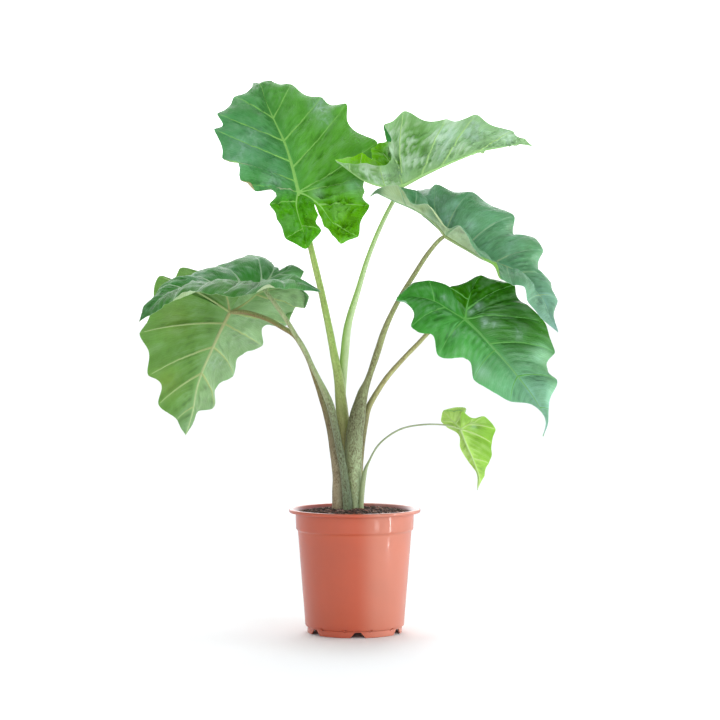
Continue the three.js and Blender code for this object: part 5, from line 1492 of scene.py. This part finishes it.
class PotSettings(bpy.types.PropertyGroup):
    colour: bpy.props.FloatVectorProperty(
        name="Colour", description="Colour of the pot's plastic", subtype="COLOR", size=3, min=0, max=1,
        default=(0.40, 0.058, 0.016))
    roughness: bpy.props.FloatProperty(
        name="Roughness", description="How dull the plastic is", subtype="FACTOR", min=0, max=1, default=0.42)


class LeafSettings(bpy.types.PropertyGroup):
    dullness: bpy.props.FloatProperty(
        name="Dullness", description="Added to the roughness of every blade", subtype="FACTOR",
        min=-0.2, max=0.5, default=0.0)


class StageSettings(bpy.types.PropertyGroup):
    eye_distance: bpy.props.FloatProperty(
        name="Camera distance", description="From the pot's axis to the camera", subtype="DISTANCE",
        unit="LENGTH", default=-EYE[1] * MM)
    floor_radius: bpy.props.FloatProperty(
        name="Floor radius", description="Radius of the pale floor", subtype="DISTANCE", unit="LENGTH",
        default=40.0)
    brightness: bpy.props.FloatProperty(
        name="Brightness", description="How bright the white surroundings are", subtype="FACTOR",
        min=0, max=4, default=1.20)
    lens: bpy.props.FloatProperty(
        name="Lens", description="Focal length of the camera in millimetres", subtype="DISTANCE_CAMERA",
        default=119.07)


class PLANT_OT_pot(bpy.types.Operator):
    """Builds the nursery pot over its solid"""
    bl_idname = "plant.pot"
    bl_label = "Pot"

    def execute(self, context):
        settings = context.scene.plant_pot
        material = pot_material(np.array(settings.colour), settings.roughness)
        make_piece("nursery_pot", [pot_part()], [material], ["pot"], sharp=40)
        return {"FINISHED"}


class PLANT_OT_soil(bpy.types.Operator):
    """Builds the soil and the bark and fibre that lie on it"""
    bl_idname = "plant.soil"
    bl_label = "Soil"

    def execute(self, context):
        make_piece("potting_soil", [soil_part()], [soil_material()], ["soil"])
        bits = [loose_bits(**kind) for kind in BITS]
        make_piece("bark_and_fibre", bits, [chip_material()], sharp=35)
        return {"FINISHED"}


class PLANT_OT_stems(bpy.types.Operator):
    """Builds the seven stems"""
    bl_idname = "plant.stems"
    bl_label = "Stems"

    def execute(self, context):
        material = stem_material("stem_skin")
        for seed, leaf in enumerate(LEAVES, FIRST_STEM_SEED):
            name = leaf["name"] + "_stem"
            part = stem_part(leaf, seed)
            make_piece(name.replace("leaf_", "stalk_"), [part], [material], [name])
        return {"FINISHED"}


class PLANT_OT_blades(bpy.types.Operator):
    """Builds the seven blades with their ribs and veins"""
    bl_idname = "plant.blades"
    bl_label = "Blades"

    def execute(self, context):
        more = context.scene.plant_leaf.dullness
        ribs = rib_material("rib_skin")
        skins = {slot: blade_material(slot, upper + more, under + more)
                 for slot, (upper, under) in BLADE_FINISHES.items()}
        for number, leaf in enumerate(LEAVES):
            name = leaf["name"] + "_blade"
            parts = blade_parts(leaf, FIRST_BLADE_SEED + BLADE_SEED_STEP * number)
            slot = SLOTS[name]
            make_piece(name.replace("leaf_", "foliage_"), parts, [skins[slot], ribs], [name])
        return {"FINISHED"}


def turned_to(place, target):
    """The turn of a lamp or camera at place that looks at target."""
    return Vector(np.asarray(target, float) - np.asarray(place, float)).to_track_quat("-Z", "Y").to_euler()


def softbox(name, place, target, size, power, colour):
    """A rectangular softbox at place, in metres from the pot's foot, turned to target."""
    light = bpy.data.lights.new(name, "AREA")
    light.shape = "RECTANGLE"
    light.size, light.size_y = size
    light.energy = power
    light.color = colour
    lamp = bpy.data.objects.new(name, light)
    lamp.location = POT_AXIS * MM + np.array(place)
    lamp.rotation_euler = turned_to(place, target)
    bpy.context.scene.collection.objects.link(lamp)


def studio_surroundings(strength):
    """White walls all round, dimmer overhead, with four windows: large ones to the right and high
    behind, a small one nearly overhead and a wide faint one low in front. Each is a soft-edged patch
    of directions round its own middle."""
    nodes = Nodes(bpy.data.worlds.new("studio"))
    direction = nodes.add("TexCoord", "Generated", {})
    overhead = nodes.between(nodes.axis(direction, "Z"), *OVERHEAD["from_to"])
    colour = nodes.mix(overhead, (strength,) * 3, strength * np.array(OVERHEAD["colour"]))
    for window in WINDOWS:
        middle = unit(np.array(window["direction"]))
        facing = nodes.add("VectorMath", "Value", {0: direction, 1: middle}, operation="DOT_PRODUCT")
        patch = nodes.between(facing, *(math.cos(math.radians(angle)) for angle in window["from_to"]))
        colour = nodes.mix(patch, colour, strength * np.array(window["colour"]), "ADD")
    nodes.fill(nodes.tree.nodes["Background"], {"Color": colour})
    return nodes.owner


class PLANT_OT_stage(bpy.types.Operator):
    """Sets the pale floor, the white surroundings, the softboxes and the camera"""
    bl_idname = "plant.stage"
    bl_label = "Stage"

    def execute(self, context):
        settings = context.scene.plant_stage
        turn = circle(FLOOR_SIDES)
        drop = np.full(FLOOR_SIDES, -FLOOR_DROP / settings.floor_radius)
        rim = np.stack([np.cos(turn), np.sin(turn), drop], -1)
        mesh = bpy.data.meshes.new("studio_floor")
        mesh.from_pydata((rim * settings.floor_radius).tolist(), [], [list(range(FLOOR_SIDES))])
        mesh.materials.append(new_nodes("studio_floor").surface(
            Roughness=0.95, Specular_IOR_Level=0.05, Base_Color=FLOOR_COLOUR))
        floor = bpy.data.objects.new("studio_floor", mesh)
        context.scene.collection.objects.link(floor)
        context.scene.world = studio_surroundings(settings.brightness)
        for box in SOFTBOXES:
            softbox(*box)
        context.scene.view_settings.view_transform = "Standard"
        camera = bpy.data.cameras.new("photo_camera")
        camera.lens = settings.lens
        camera.sensor_width = SENSOR_WIDTH
        camera.clip_end = CLIP_END
        photographer = bpy.data.objects.new("photo_camera", camera)
        eye = (POT_AXIS + np.array([EYE[0], 0, EYE[2]])) * MM - np.array([0, settings.eye_distance, 0])
        aim = (POT_AXIS + np.array([EYE[0], 0, AIM_HEIGHT])) * MM
        photographer.location = eye
        photographer.rotation_euler = turned_to(eye, aim)
        context.scene.collection.objects.link(photographer)
        context.scene.camera = photographer
        return {"FINISHED"}


# Each group of settings with the operators that use it.
GROUPS = {
    "plant_pot": (PotSettings, (PLANT_OT_pot, PLANT_OT_soil)),
    "plant_leaf": (LeafSettings, (PLANT_OT_stems, PLANT_OT_blades)),
    "plant_stage": (StageSettings, (PLANT_OT_stage,)),
}


class PLANT_PT_panel(bpy.types.Panel):
    """Lists what the plant is built from"""
    bl_label = "Potted Elephant Ear"
    bl_idname = "PLANT_PT_panel"
    bl_space_type = "VIEW_3D"
    bl_region_type = "UI"
    bl_category = "Plant"

    def draw(self, context):
        for name, (group, operators) in GROUPS.items():
            for setting in group.__annotations__:
                self.layout.prop(getattr(context.scene, name), setting)
            for operator in operators:
                self.layout.operator(operator.bl_idname)


CLASSES = [*(cls for group, operators in GROUPS.values() for cls in (group, *operators)), PLANT_PT_panel]


def register():
    for cls in CLASSES:
        bpy.utils.register_class(cls)
    for name, (group, _) in GROUPS.items():
        setattr(bpy.types.Scene, name, bpy.props.PointerProperty(type=group))


def unregister():
    for name in GROUPS:
        delattr(bpy.types.Scene, name)
    for cls in reversed(CLASSES):
        bpy.utils.unregister_class(cls)


def main():
    register()
    bpy.ops.plant.pot()
    bpy.ops.plant.soil()
    bpy.ops.plant.stems()
    bpy.ops.plant.blades()
    bpy.ops.plant.stage()


if __name__ == "__main__":
    main()
